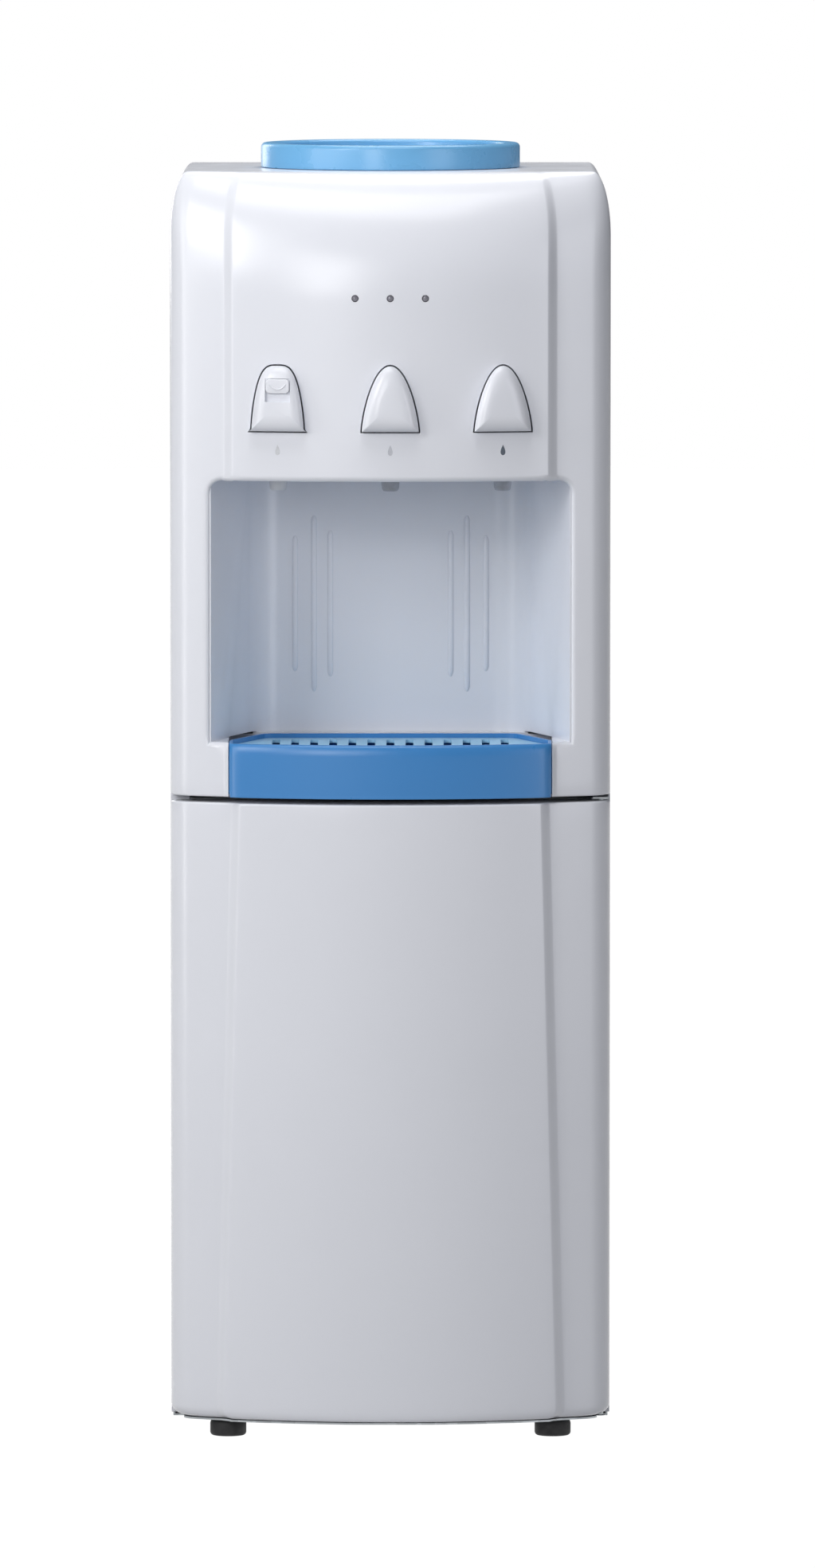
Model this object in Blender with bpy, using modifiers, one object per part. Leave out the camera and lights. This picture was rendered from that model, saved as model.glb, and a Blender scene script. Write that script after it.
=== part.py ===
"""Floor-standing water dispenser with a bottle on top, three taps and a lower cabinet.

Metres, +Z up, front towards -Y, origin on the floor at the middle of the footprint.
"""
import math

import bmesh
import bpy
from mathutils import Matrix, Vector

# Housing
HALF_WIDTH = 0.1669
FRONT = 0.172
REAR_Y = 0.135
DECK_Z = 0.961
PANEL_RADIUS = 0.379
CREASE_SHARE = 0.71
STEP_WIDTH = 0.008
STEP_DEPTH = 0.006
CORNER_RADIUS = 0.025
SEAM_SET_BACK = 0.0063
SHOULDER_WIDTH = 0.014
SHOULDER_HEIGHT = 0.049
FOREHEAD_HEIGHT = 0.096
FOREHEAD_REST = 0.15
COVER_SHARE = 0.50853
WALL = 0.0025
SHEET = 0.001
FLANGE = 0.0145
GAP = 0.0003
TOP_COVER_HEIGHT = 0.061

CORNER_SLOPE = math.asin((HALF_WIDTH - CORNER_RADIUS * 0.6) / PANEL_RADIUS)
CORNER_START_X = HALF_WIDTH - CORNER_RADIUS * (1 - math.sin(CORNER_SLOPE))
CORNER_BOW = PANEL_RADIUS - math.sqrt(PANEL_RADIUS ** 2 - CORNER_START_X ** 2)
CORNER_END_Y = -FRONT + CORNER_BOW + STEP_DEPTH + CORNER_RADIUS * math.cos(CORNER_SLOPE)
SEAM_Y = CORNER_END_Y + SEAM_SET_BACK
COVER_CREASE = HALF_WIDTH * CREASE_SHARE
COVER_BOTTOM = DECK_Z * COVER_SHARE
FOREHEAD_Z = DECK_Z - FOREHEAD_HEIGHT
TOP_COVER_BOTTOM = DECK_Z - TOP_COVER_HEIGHT
SHEET_HALF_WIDTH = HALF_WIDTH - SHEET - GAP
SHEET_FRONT_Y = SEAM_Y + SHEET + 2 * GAP

# Door
DOOR_SEAM = 0.0043
DOOR_BOTTOM = 0.0155
DOOR_SET_FORWARD = 0.005
DOOR_CREASE_TOP_SHARE = 0.677
DOOR_CREASE_BOTTOM_SHARE = 0.749
DOOR_CORNER = 0.008
DOOR_PANEL = 0.0022
DOOR_PAD_DEPTH = 0.001
DOOR_PAD_MARGIN = 0.035
GASKET_WIDTH = 0.005
HINGE_INSET = 0.0074
HINGE_SET_FORWARD = 0.0115
PIN_RADIUS = 0.0025
PIN_LENGTH = 0.014
PIN_CLEARANCE = 0.0004
PIN_SHOULDER = 0.0015
BOSS_RADIUS = 0.0038
BOSS_LENGTH = 0.018
BRACKET_SHEET = 0.0015
BRACKET_WIDTH = 0.012
BRACKET_LENGTH = 0.0655

DOOR_TOP = COVER_BOTTOM - DOOR_SEAM
DOOR_REAR_Y = SEAM_Y - DOOR_SET_FORWARD
DOOR_CREASE_TOP = HALF_WIDTH * DOOR_CREASE_TOP_SHARE
DOOR_CREASE_BOTTOM = HALF_WIDTH * DOOR_CREASE_BOTTOM_SHARE
HINGE_X = HALF_WIDTH - HINGE_INSET
HINGE_Y = SEAM_Y - HINGE_SET_FORWARD

# Base, mid panel and cabinet
PAN_BOTTOM = 0.0125
PAN_SHEET = 0.0015
PAN_LIP = 0.018
PAN_TONGUE_INSET = 0.009
FOOT_RADIUS = 0.01375
FOOT_CHAMFER = 0.0015
FOOT_SHOULDER = 0.003
FOOT_INSET = 0.0434
FOOT_FRONT_OFFSET = 0.015
FOOT_REAR_OFFSET = 0.050
MID_PANEL_DROP = 0.0052
MID_PANEL_SHEET = 0.0017
DUCT = 0.016
LINER_INSET = 0.0154
LINER_WALL = 0.0018
LINER_BOTTOM = 0.024
HUMP_HEIGHT = 0.216
HUMP_DEPTH = 0.140
SHELF = 0.003
SHELF_SET_BACK = 0.017
LEDGE_WIDTH = 0.005
LEDGE_HEIGHT = 0.006
CATCH_WIDTH = 0.012
CATCH_HEIGHT = 0.030
CATCH_DEPTH = 0.0205
CATCH_RISE = 0.046

PAN_TOP = PAN_BOTTOM + PAN_SHEET
FOOT_X = HALF_WIDTH - FOOT_INSET
FOOT_FRONT_Y = SEAM_Y - FOOT_FRONT_OFFSET
FOOT_REAR_Y = REAR_Y - FOOT_REAR_OFFSET
MID_PANEL_BOTTOM = COVER_BOTTOM - MID_PANEL_DROP
MID_PANEL_TOP = MID_PANEL_BOTTOM + MID_PANEL_SHEET
LINER_HALF_WIDTH = HALF_WIDTH - LINER_INSET
LINER_REAR_Y = REAR_Y - DUCT - SHEET
HUMP_Y = REAR_Y - HUMP_DEPTH

# Recess and drip tray
RECESS_INSET = 0.0304
RECESS_BACK_SHARE = 0.74
RECESS_RISE = 0.0413
RECESS_DEPTH = 0.080
RECESS_FILLET = 0.032
RECESS_CORNER = 0.010
RECESS_FLARE = 0.014
RECESS_MOUTH = 0.035
RECESS_LAP = 0.003
LINER_SKIN = 0.002
TRAY_OVERLAP = 0.0035
TRAY_TAPER_SHARE = 0.803
TRAY_BACK_CLEARANCE = 0.015
TRAY_KNEE = 0.007
TRAY_CORNER = 0.012
TRAY_BORDER = 0.009
TRAY_SIDE_DROP = 0.004
TRAY_TOP_DROP = 0.0036
TRAY_WALL = 0.0025
TRAY_FRONT_WALL = 0.006
TRAY_LEDGE = 0.0025
TRAY_SIDE_GAP = 0.0005
TRAY_TOP_GAP = 0.0005
GRILLE = 0.0025
GRILLE_DEPTH = 0.0035
GRILLE_SLOT = 0.006
GRILLE_SLOTS = 13
GRILLE_PITCH = 0.0145
GRILLE_SLOT_FRONT = 0.044
GRILLE_SLOT_BACK = 0.022
FLUTE_SHARES = (0.4554, 0.5792, 0.7228)
FLUTE_HEIGHT_SHARES = (0.5707, 0.6869, 0.5303)
FLUTE_MIDDLE_SHARE = 0.495
FLUTE_RADIUS = 0.0022

RECESS_HALF_WIDTH = HALF_WIDTH - RECESS_INSET
RECESS_BACK_HALF_WIDTH = RECESS_HALF_WIDTH * RECESS_BACK_SHARE
RECESS_BOTTOM = COVER_BOTTOM + RECESS_RISE
RECESS_BACK_Y = SEAM_Y + RECESS_DEPTH
RECESS_MOUTH_Y = SEAM_Y - RECESS_MOUTH
TRAY_HALF_WIDTH = COVER_CREASE + TRAY_OVERLAP
TRAY_SLOT = TRAY_HALF_WIDTH + TRAY_SIDE_GAP
TRAY_BACK_HALF_WIDTH = TRAY_HALF_WIDTH * TRAY_TAPER_SHARE
TRAY_BACK_Y = RECESS_BACK_Y - TRAY_BACK_CLEARANCE
TRAY_TOP = RECESS_BOTTOM - TRAY_TOP_GAP
GRILLE_BOTTOM = TRAY_TOP - GRILLE_DEPTH - GRILLE

# Buttons, taps and lights
TAP_SHARE = 0.7173
BUTTON_DROP = 0.0984
BUTTON_HEIGHT = 0.0495
BUTTON_WIDTH = 0.043
BUTTON_SQUARE_SHARE = 0.92
BUTTON_PROUD = 0.011
BUTTON_SKIRT = 0.0015
BUTTON_HEART = 0.42
BUTTON_ROLL = (0, 20, 40, 60, 78)
BUTTON_FULLNESS = 0.55
BUTTON_THINNING = 0.28
BUTTON_DEPTH = 0.017
BUTTON_CLEARANCE = 0.001
BUTTON_AXIS_DROP = 0.006
BUTTON_AXIS_DEPTH = 0.004
LOCK_HALF_WIDTH = 0.009
LOCK_HALF_HEIGHT = 0.0055
LOCK_THICKNESS = 0.0032
LOCK_SHARE = 0.695
LOCK_POCKET = 0.0035
LOCK_TRAVEL = 0.006
LOCK_CLEARANCE = 0.0004
RECESS_DROP = 0.0386
TAP_SET_BACK = 0.047
TAP_HALF_WIDTH = 0.012
TAP_RISE = 0.0284
TAP_FRONT = 0.020
TAP_INLET = 0.006
NOZZLE_DROP = 0.0085
NOZZLE_RADIUS = 0.007
NOZZLE_BORE = 0.0042
NOZZLE_CLEARANCE = 0.0006
PLUNGER_RADIUS = 0.0025
PLUNGER_LENGTH = 0.020
PLUNGER_RISE = 0.0154
PLUNGER_REACH = 0.0013
PLUNGER_CLEARANCE = 0.00035
LIGHT_X = 0.0265
LIGHT_RISE = 0.002
LIGHT_RADIUS = 0.0023
LIGHT_CLEARANCE = 0.0004
LIGHT_BAR = 0.0035
LIGHT_BAR_SET_BACK = 0.006
BOARD = 0.0016
BOARD_HALF_HEIGHT = 0.012

TAP_X = COVER_CREASE * TAP_SHARE
TAPS = {"hot": (-TAP_X, True), "ambient": (0.0, False), "cold": (TAP_X, False)}
BUTTON_BOTTOM = FOREHEAD_Z - BUTTON_DROP
RECESS_TOP = BUTTON_BOTTOM - RECESS_DROP
RECESS_HEIGHT = RECESS_TOP - RECESS_BOTTOM
CEILING_Z = RECESS_TOP + RECESS_LAP
NOZZLE_TIP = RECESS_TOP - NOZZLE_DROP
TAP_TOP = BUTTON_BOTTOM + TAP_RISE
PLUNGER_Z = BUTTON_BOTTOM + PLUNGER_RISE
LIGHT_Z = FOREHEAD_Z + LIGHT_RISE

# Bottle seat
COLLAR_RADIUS = 0.099
COLLAR_HEIGHT = 0.019
COLLAR_BAND = 0.0115
COLLAR_EDGE = 0.004
WELL_RADIUS = 0.090
WELL_RIM = 0.012
NECK_CLEARANCE = 0.0015
NECK_DEPTH = 0.022
FUNNEL_DEPTH = 0.049
FUNNEL_WALL = 0.003
FUNNEL_FLOOR_RADIUS = 0.040
PROBE_RADIUS = 0.011
PROBE_DEPTH = 0.009
PROBE_BORE = 0.002
PROBE_FOOT = 0.017

COLLAR_TOP = DECK_Z + COLLAR_HEIGHT
FUNNEL_BOTTOM = DECK_Z - FUNNEL_DEPTH
FUNNEL_FLOOR = FUNNEL_BOTTOM + FUNNEL_WALL
PROBE_TOP = DECK_Z - PROBE_DEPTH

# Cold tank and its shelf
COLD_RADIUS = 0.072
COLD_HEIGHT = 0.135
COLD_WALL = 0.0015
COIL_TUBE = 0.003
COIL_CLEARANCE = 0.0014
COIL_TURNS = 4
COIL_PITCH = 0.0175
COIL_RISE = 0.020
FOAM_THICKNESS = 0.0147
FOAM_FLOOR = 0.017
FOAM_RIM = 0.003
PORT_REACH = 0.002
PORT_RISE = 0.010
PORT_DROP = 0.022
PORT_CLEARANCE = 0.0005
COLD_PORT_ANGLE = -50.5
AMBIENT_PORT_ANGLE = -90.0
FEED_X = 0.030
FEED_Y = 0.030
FEED_DROP = 0.006
TUBE_RADIUS = 0.0045
TANK_SHELF = 0.0015

COLD_TOP = TOP_COVER_BOTTOM
COLD_BOTTOM = COLD_TOP - COLD_HEIGHT
COIL_RADIUS = COLD_RADIUS + COIL_TUBE + COIL_CLEARANCE
FOAM_INNER = COIL_RADIUS + COIL_TUBE + 3 * GAP
FOAM_RADIUS = FOAM_INNER + FOAM_THICKNESS
FOAM_BOTTOM = COLD_BOTTOM - FOAM_FLOOR
COLD_PORT_Z = COLD_BOTTOM + PORT_RISE
AMBIENT_PORT_Z = COLD_TOP - PORT_DROP
FEED_END_Z = FOAM_BOTTOM - FEED_DROP
TANK_SHELF_TOP = FOAM_BOTTOM - GAP

# Hot tank
HOT_RADIUS = 0.040
HOT_X = -0.060
HOT_SET_FORWARD = 0.090
HOT_LEG = 0.0148
HOT_LEG_RADIUS = 0.004
HOT_LEG_RING = 0.026
HOT_HEIGHT_SHARE = 0.5242
HOT_EDGE = 0.008
HOT_STUB = 0.008
HOT_PORT_RISE = 0.016
HEATER_SHARE = 0.54
HEATER_HEIGHT = 0.030
HEATER_THICKNESS = 0.003
HEATER_CLEARANCE = 0.0004
THERMOSTAT_RADIUS = 0.009
THERMOSTAT_DEPTH = 0.008
HOSE_INSET = 0.0269
HOSE_RISE = 0.035
HOSE_BEND = 0.030

HOT_Y = REAR_Y - HOT_SET_FORWARD
HOT_BOTTOM = MID_PANEL_TOP + HOT_LEG
HOT_HEIGHT = (FOAM_BOTTOM - HOT_BOTTOM) * HOT_HEIGHT_SHARE
HOT_TOP = HOT_BOTTOM + HOT_HEIGHT
HOSE_X = -(HALF_WIDTH - HOSE_INSET)
HOSE_Z = TAP_TOP + HOSE_RISE

# Compressor and condenser
COMPRESSOR_X = 0.010
COMPRESSOR_SET_FORWARD = 0.077
COMPRESSOR_RADIUS = 0.052
COMPRESSOR_HEIGHT = 0.131
COMPRESSOR_PLATE_Z = 0.024
COMPRESSOR_PLATE = 0.003
PLATE_HALF_WIDTH = 0.075
PLATE_HALF_DEPTH = 0.050
MOUNT_INSET = 0.013
MOUNT_RADIUS = 0.008
SEAM_BEAD = 0.002
SUCTION_STUB_Z = 0.120
SUCTION_STUB_RADIUS = 0.0035
DISCHARGE_STUB_Z = 0.105
DISCHARGE_STUB_X = 0.020
DISCHARGE_STUB_RADIUS = 0.0028
STUB_LENGTH = 0.010
CONDENSER_TUBE = 0.0024
CONDENSER_WIRE = 0.0008
CONDENSER_INSET = 0.0549
CONDENSER_TURN = 0.012
CONDENSER_BEND = 0.014
CONDENSER_PASSES = 7
CONDENSER_BOTTOM = 0.315
CONDENSER_TOP_DROP = 0.136
CONDENSER_WIRES = 9
CONDENSER_LEG_INSET = 0.0309
WIRE_OVERHANG = 0.012
LUG_HALF_WIDTH = 0.004
LUG_HALF_HEIGHT = 0.0015
PIPE_END_Z = 0.185
CROSSOVER_Z = 0.055
CAPILLARY_RADIUS = 0.0012
DRIER_X = -0.075
DRIER_SET_FORWARD = 0.023
DRIER_RADIUS = 0.008
DRIER_NECK = 0.003
DRIER_BOTTOM = 0.075
DRIER_LENGTH = 0.088

COMPRESSOR_Y = REAR_Y - COMPRESSOR_SET_FORWARD
COMPRESSOR_BASE = COMPRESSOR_PLATE_Z + COMPRESSOR_PLATE
COMPRESSOR_TOP = COMPRESSOR_BASE + COMPRESSOR_HEIGHT
CONDENSER_HALF_WIDTH = HALF_WIDTH - CONDENSER_INSET
CONDENSER_LEG_X = HALF_WIDTH - CONDENSER_LEG_INSET
CONDENSER_TOP = DECK_Z - CONDENSER_TOP_DROP
CONDENSER_PITCH = (CONDENSER_TOP - CONDENSER_BOTTOM) / (CONDENSER_PASSES - 1)
DRIER_Y = REAR_Y - DRIER_SET_FORWARD
DRIER_TOP = DRIER_BOTTOM + DRIER_LENGTH
REAR = FRONT + BUTTON_PROUD
CONDENSER_Y = REAR - CONDENSER_TUBE - 2 * CONDENSER_WIRE

# Back panel and its fittings
BACK_PANEL_BOTTOM = 0.205
VENT_ROWS = 5
VENT_PITCH = 0.013
VENT_HEIGHT = 0.004
VENT_HALF_LENGTH = 0.022
VENT_SHARE = 0.42
VENT_DROP = 0.093
SWITCH_INSET = 0.0669
SWITCH_Z = 0.245
BANK_HALF_WIDTH = 0.020
BANK_HALF_HEIGHT = 0.014
BANK_DEPTH = 0.0135
BEZEL = 0.003
BEZEL_THICKNESS = 0.0016
ROCKER_HALF_WIDTH = 0.0078
ROCKER_SPACING = 0.010
ROCKER_TILT = 11
ROCKER_POCKET = 0.0075
ROCKER_ROOM = 0.0117
ROCKER_PROFILE = ((-0.004, -0.0092), (0.0032, -0.0103), (0.0008, 0.0), (0.0032, 0.0103), (-0.004, 0.0092))
DRAIN_Z = 0.235
DRAIN_PROUD = 0.0165
CAP_RADIUS = 0.0085
CAP_WALL = 0.005
CAP_CLEARANCE = 0.0004
GLAND_INSET = 0.0519
GLAND_Z = 0.240
GLAND_RADIUS = 0.010
GLAND_BODY = 0.0064
GLAND_BORE = 0.0036
GLAND_LENGTH = 0.012

PLATE_Y = REAR_Y - SHEET - GAP - SHEET
PLATE_FACE = PLATE_Y + SHEET + GAP
DUCT_Y = PLATE_Y - DUCT * 0.48
DRAIN_END = PLATE_Y + DRAIN_PROUD
SWITCH_X = HALF_WIDTH - SWITCH_INSET
GLAND_X = -(HALF_WIDTH - GLAND_INSET)


def clear_scene():
    for obj in list(bpy.data.objects):
        bpy.data.objects.remove(obj, do_unlink=True)


def collection(name):
    made = bpy.data.collections.new(name)
    bpy.context.scene.collection.children.link(made)
    return made


def material(name, color, roughness, metallic=0.0):
    made = bpy.data.materials.new(name)
    made.use_nodes = True
    shader = made.node_tree.nodes["Principled BSDF"]
    shader.inputs["Base Color"].default_value = (*color, 1.0)
    shader.inputs["Roughness"].default_value = roughness
    shader.inputs["Metallic"].default_value = metallic
    made.diffuse_color = (*color, 1.0)
    return made


FINISHES = {
    "white_abs": ((0.80, 0.81, 0.84), 0.25, 0.0),
    "inner_abs": ((0.70, 0.71, 0.74), 0.45, 0.0),
    "blue_abs": ((0.08, 0.29, 0.60), 0.30, 0.0),
    "pale_blue_abs": ((0.25, 0.52, 0.74), 0.30, 0.0),
    "painted_steel": ((0.75, 0.76, 0.78), 0.40, 0.0),
    "galvanised": ((0.52, 0.54, 0.56), 0.45, 1.0),
    "stainless": ((0.60, 0.60, 0.60), 0.30, 1.0),
    "black_steel": ((0.015, 0.015, 0.017), 0.45, 0.0),
    "copper": ((0.75, 0.35, 0.20), 0.30, 1.0),
    "rubber": ((0.012, 0.012, 0.014), 0.75, 0.0),
    "foam": ((0.88, 0.88, 0.86), 0.90, 0.0),
    "silicone": ((0.80, 0.82, 0.82), 0.50, 0.0),
    "clear_plastic": ((0.45, 0.45, 0.50), 0.15, 0.0),
    "circuit_board": ((0.02, 0.18, 0.06), 0.50, 0.0),
    "red_plastic": ((0.55, 0.03, 0.02), 0.35, 0.0),
    "green_plastic": ((0.03, 0.35, 0.08), 0.35, 0.0),
}


def place(name, mesh, finish, parent=None, origin=(0, 0, 0)):
    """Link a mesh, given in world coordinates, as an object with its origin at a chosen point."""
    mesh.name = name
    obj = bpy.data.objects.new(name, mesh)
    start = Vector(origin)
    mesh.transform(Matrix.Translation(-start))
    if parent is None:
        obj.location = start
    else:
        obj.parent = parent
        obj.location = start - parent.location
    if finish is None:
        CUTTERS.objects.link(obj)
        obj.hide_render = True
        obj.display_type = "WIRE"
    else:
        mesh.materials.clear()
        mesh.materials.append(MATERIALS[finish])
        PARTS.objects.link(obj)
    return obj


def mesh_of(bm):
    mesh = bpy.data.meshes.new("mesh")
    bmesh.ops.recalc_face_normals(bm, faces=bm.faces)
    bm.to_mesh(mesh)
    bm.free()
    return mesh


def smooth(obj, angle=35):
    obj.data.shade_smooth()
    obj.data.set_sharp_from_angle(angle=math.radians(angle))
    return obj


def block_mesh(low, high):
    low, high = Vector(low), Vector(high)
    bm = bmesh.new()
    size = Matrix.Diagonal((*(high - low), 1.0))
    bmesh.ops.create_cube(bm, size=1.0, matrix=Matrix.Translation((low + high) / 2) @ size)
    return mesh_of(bm)


def block(name, low, high, finish, parent=None, edge=0.0, origin=None):
    middle = (Vector(low) + Vector(high)) / 2
    obj = place(name, block_mesh(low, high), finish, parent, origin or middle)
    if edge:
        round_edges(obj, edge)
    return obj


def round_edges(obj, width, segments=2, angle=40):
    mod = obj.modifiers.new("Rounding", "BEVEL")
    mod.width = width
    mod.segments = segments
    mod.limit_method = "ANGLE"
    mod.angle_limit = math.radians(angle)


def rod(name, start, end, radius, finish, parent=None, sides=24, end_radius=None):
    """A cylinder or cone between two points."""
    start, end = Vector(start), Vector(end)
    run = end - start
    turn = run.to_track_quat("Z", "Y").to_matrix().to_4x4()
    bm = bmesh.new()
    bmesh.ops.create_cone(bm, cap_ends=True, segments=sides, radius1=radius,
                          radius2=radius if end_radius is None else end_radius, depth=run.length,
                          matrix=Matrix.Translation((start + end) / 2) @ turn)
    return smooth(place(name, mesh_of(bm), finish, parent, start))


def turned(name, profile, centre, finish, steps=32, parent=None, closed=False):
    """A profile of (radius, height) points, top to bottom on its outer side, turned about Z."""
    bm = bmesh.new()
    points = [bm.verts.new((radius, 0, height)) for radius, height in profile]
    for first, second in zip(points, points[1:]):
        bm.edges.new((first, second))
    if closed:
        bm.edges.new((points[-1], points[0]))
    mesh = bpy.data.meshes.new(name)
    bm.to_mesh(mesh)
    bm.free()
    obj = place(name, mesh, finish, parent, (0, 0, 0))
    obj.location = Vector(centre) - (parent.location if parent else Vector())
    mod = obj.modifiers.new("Turning", "SCREW")
    mod.angle = math.tau
    mod.steps = mod.render_steps = steps
    mod.use_merge_vertices = True
    mod.merge_threshold = 0.00005
    mod.use_smooth_shade = True
    return obj


def tube_mesh(points, radius, resolution=1):
    curve = bpy.data.curves.new("route", "CURVE")
    curve.dimensions = "3D"
    curve.bevel_depth = radius
    curve.bevel_resolution = resolution
    curve.use_fill_caps = True
    spline = curve.splines.new("POLY")
    spline.points.add(len(points) - 1)
    for point, place_at in zip(spline.points, points):
        point.co = (*place_at, 1.0)
    return curve_to_mesh(curve)


def curve_to_mesh(curve):
    obj = bpy.data.objects.new("route", curve)
    bpy.context.scene.collection.objects.link(obj)
    bpy.context.view_layer.update()
    mesh = bpy.data.meshes.new_from_object(obj.evaluated_get(bpy.context.evaluated_depsgraph_get()))
    bpy.data.objects.remove(obj, do_unlink=True)
    bm = bmesh.new()
    bm.from_mesh(mesh)
    bmesh.ops.remove_doubles(bm, verts=bm.verts, dist=0.000005)
    bmesh.ops.recalc_face_normals(bm, faces=bm.faces)
    bm.to_mesh(mesh)
    bm.free()
    return mesh


def tube(name, points, radius, finish, parent=None, resolution=1):
    return smooth(place(name, tube_mesh(points, radius, resolution), finish, parent, points[0]))


def soft_route(points, radius, steps=3):
    """A route through points with each inner corner rounded to a radius."""
    points = [Vector(p) for p in points]
    route = [points[0]]
    for before, corner, after in zip(points, points[1:], points[2:]):
        reach = min(radius, (before - corner).length * 0.45, (after - corner).length * 0.45)
        start = corner + (before - corner).normalized() * reach
        end = corner + (after - corner).normalized() * reach
        for i in range(steps + 1):
            t = i / steps
            route.append(start * (1 - t) ** 2 + corner * (2 * t * (1 - t)) + end * t ** 2)
    route.append(points[-1])
    return route


def rounded_outline(corners, steps=5):
    """A closed outline from (x, y, radius) corners."""
    outline = []
    for i, (x, y, radius) in enumerate(corners):
        corner = Vector((x, y))
        if radius == 0:
            outline.append(corner)
            continue
        before = (Vector(corners[i - 1][:2]) - corner).normalized()
        after = (Vector(corners[(i + 1) % len(corners)][:2]) - corner).normalized()
        half = before.angle(after) / 2
        reach = radius / math.tan(half)
        middle = corner + (before + after).normalized() * (radius / math.sin(half))
        first = corner + before * reach - middle
        last = corner + after * reach - middle
        sweep = first.angle_signed(last)
        for k in range(steps + 1):
            outline.append(middle + Matrix.Rotation(-sweep * k / steps, 2) @ first)
    return [(p.x, p.y) for p in outline]


def prism_mesh(outline, low, high, along="Z"):
    """A flat outline extruded along an axis. Outlines along Y hold (x, z), along X (y, z)."""
    curve = bpy.data.curves.new("outline", "CURVE")
    curve.dimensions = "2D"
    curve.fill_mode = "BOTH"
    curve.extrude = (high - low) / 2
    spline = curve.splines.new("POLY")
    spline.points.add(len(outline) - 1)
    for point, (x, y) in zip(spline.points, outline):
        point.co = (x, y, 0, 1)
    spline.use_cyclic_u = True
    mesh = curve_to_mesh(curve)
    mesh.transform(Matrix.Translation((0, 0, (low + high) / 2)))
    if along == "Y":
        mesh.transform(Matrix(((1, 0, 0, 0), (0, 0, 1, 0), (0, 1, 0, 0), (0, 0, 0, 1))))
        mesh.flip_normals()
    if along == "X":
        mesh.transform(Matrix(((0, 0, 1, 0), (1, 0, 0, 0), (0, 1, 0, 0), (0, 0, 0, 1))))
    return mesh


def prism(name, outline, low, high, finish, along="Z", parent=None, origin=(0, 0, 0)):
    return place(name, prism_mesh(outline, low, high, along), finish, parent, origin)


def combine(obj, other, operation):
    mod = obj.modifiers.new(operation.title(), "BOOLEAN")
    mod.object = other
    mod.operation = operation
    return obj


def cut(obj, *others):
    for other in others:
        combine(obj, other, "DIFFERENCE")
    return obj


def add(obj, *others):
    for other in others:
        combine(obj, other, "UNION")
    return obj


def trim(obj, other):
    return combine(obj, other, "INTERSECT")


def group_mesh(meshes):
    """Several separate shapes in one mesh, to cut with in one go."""
    bm = bmesh.new()
    for mesh in meshes:
        bm.from_mesh(mesh)
    joined = bpy.data.meshes.new("group")
    bm.to_mesh(joined)
    bm.free()
    return joined


def empty(name, location):
    made = bpy.data.objects.new(name, None)
    made.location = location
    PARTS.objects.link(made)
    return made


def fillet_drop(share):
    """Drop of a quarter round: 0 where it starts and 1 at its edge."""
    share = min(max(share, 0.0), 1.0)
    return 1 - math.sqrt(1 - share * share)


def bow(x):
    """Set-back of the bowed front at a distance from the middle."""
    return PANEL_RADIUS - math.sqrt(PANEL_RADIUS ** 2 - x * x)


def front_y(x, crease):
    """Height of the bowed front in plan: a middle panel, a filleted step and two cheeks."""
    t = min(max((abs(x) - crease) / STEP_WIDTH, 0.0), 1.0)
    return -FRONT + bow(x) + STEP_DEPTH * t * t * (3 - 2 * t)


def plan_points(crease, seam):
    """Left half of the front's plan, from the seam at the side to the middle."""
    middle_x = HALF_WIDTH - CORNER_RADIUS
    middle_y = front_y(CORNER_START_X, crease) + CORNER_RADIUS * math.cos(CORNER_SLOPE)
    points = [(-HALF_WIDTH, seam)]
    steps = 4
    for i in range(steps + 1):
        angle = math.pi / 2 + (CORNER_SLOPE - math.pi / 2) * i / steps
        points.append((-middle_x - CORNER_RADIUS * math.sin(angle),
                       middle_y - CORNER_RADIUS * math.cos(angle)))
    cheek_end = crease + STEP_WIDTH
    cheek_x = cheek_end + (CORNER_START_X - cheek_end) * 0.45
    line = [cheek_x] + [crease + STEP_WIDTH * share for share in (1.0, 0.67, 0.33, 0.0)]
    line += [crease * share for share in (0.78, 0.52, 0.26)]
    return points + [(-x, front_y(x, crease)) for x in line]


def inset_points(points, distance):
    """Points of an open line moved to its inner side by a distance."""
    if distance == 0:
        return points
    moved = []
    for i, point in enumerate(points):
        before = Vector(points[max(i - 1, 0)])
        after = Vector(points[min(i + 1, len(points) - 1)])
        run = (after - before).normalized()
        moved.append((point[0] - run.y * distance, point[1] + run.x * distance))
    return moved


def plan(crease, seam, inset=0.0, back=None):
    """Closed plan of the front: the bowed front, then straight back at both sides."""
    half = plan_points(crease, seam)
    line = half + [(0.0, front_y(0, crease))] + [(-x, y) for x, y in reversed(half)]
    line = inset_points(line, inset)
    if back is not None:
        line = [(line[0][0], back)] + line + [(line[-1][0], back)]
    return line


def loft_mesh(rings):
    """A closed solid through rings of (x, y, z) that have the same count of points."""
    bm = bmesh.new()
    rows = [[bm.verts.new(point) for point in ring] for ring in rings]
    count = len(rings[0])
    for low, high in zip(rows, rows[1:]):
        for i in range(count):
            k = (i + 1) % count
            bm.faces.new((low[i], low[k], high[k], high[i]))
    bm.faces.new(list(reversed(rows[0])))
    bm.faces.new(rows[-1])
    return mesh_of(bm)


def shoulder(z, inset=0.0):
    """Share of the width that the housing keeps near its rounded top corners."""
    start = DECK_Z - SHOULDER_HEIGHT
    return 1 - SHOULDER_WIDTH / HALF_WIDTH * fillet_drop((z - start) / (SHOULDER_HEIGHT - inset))


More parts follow.
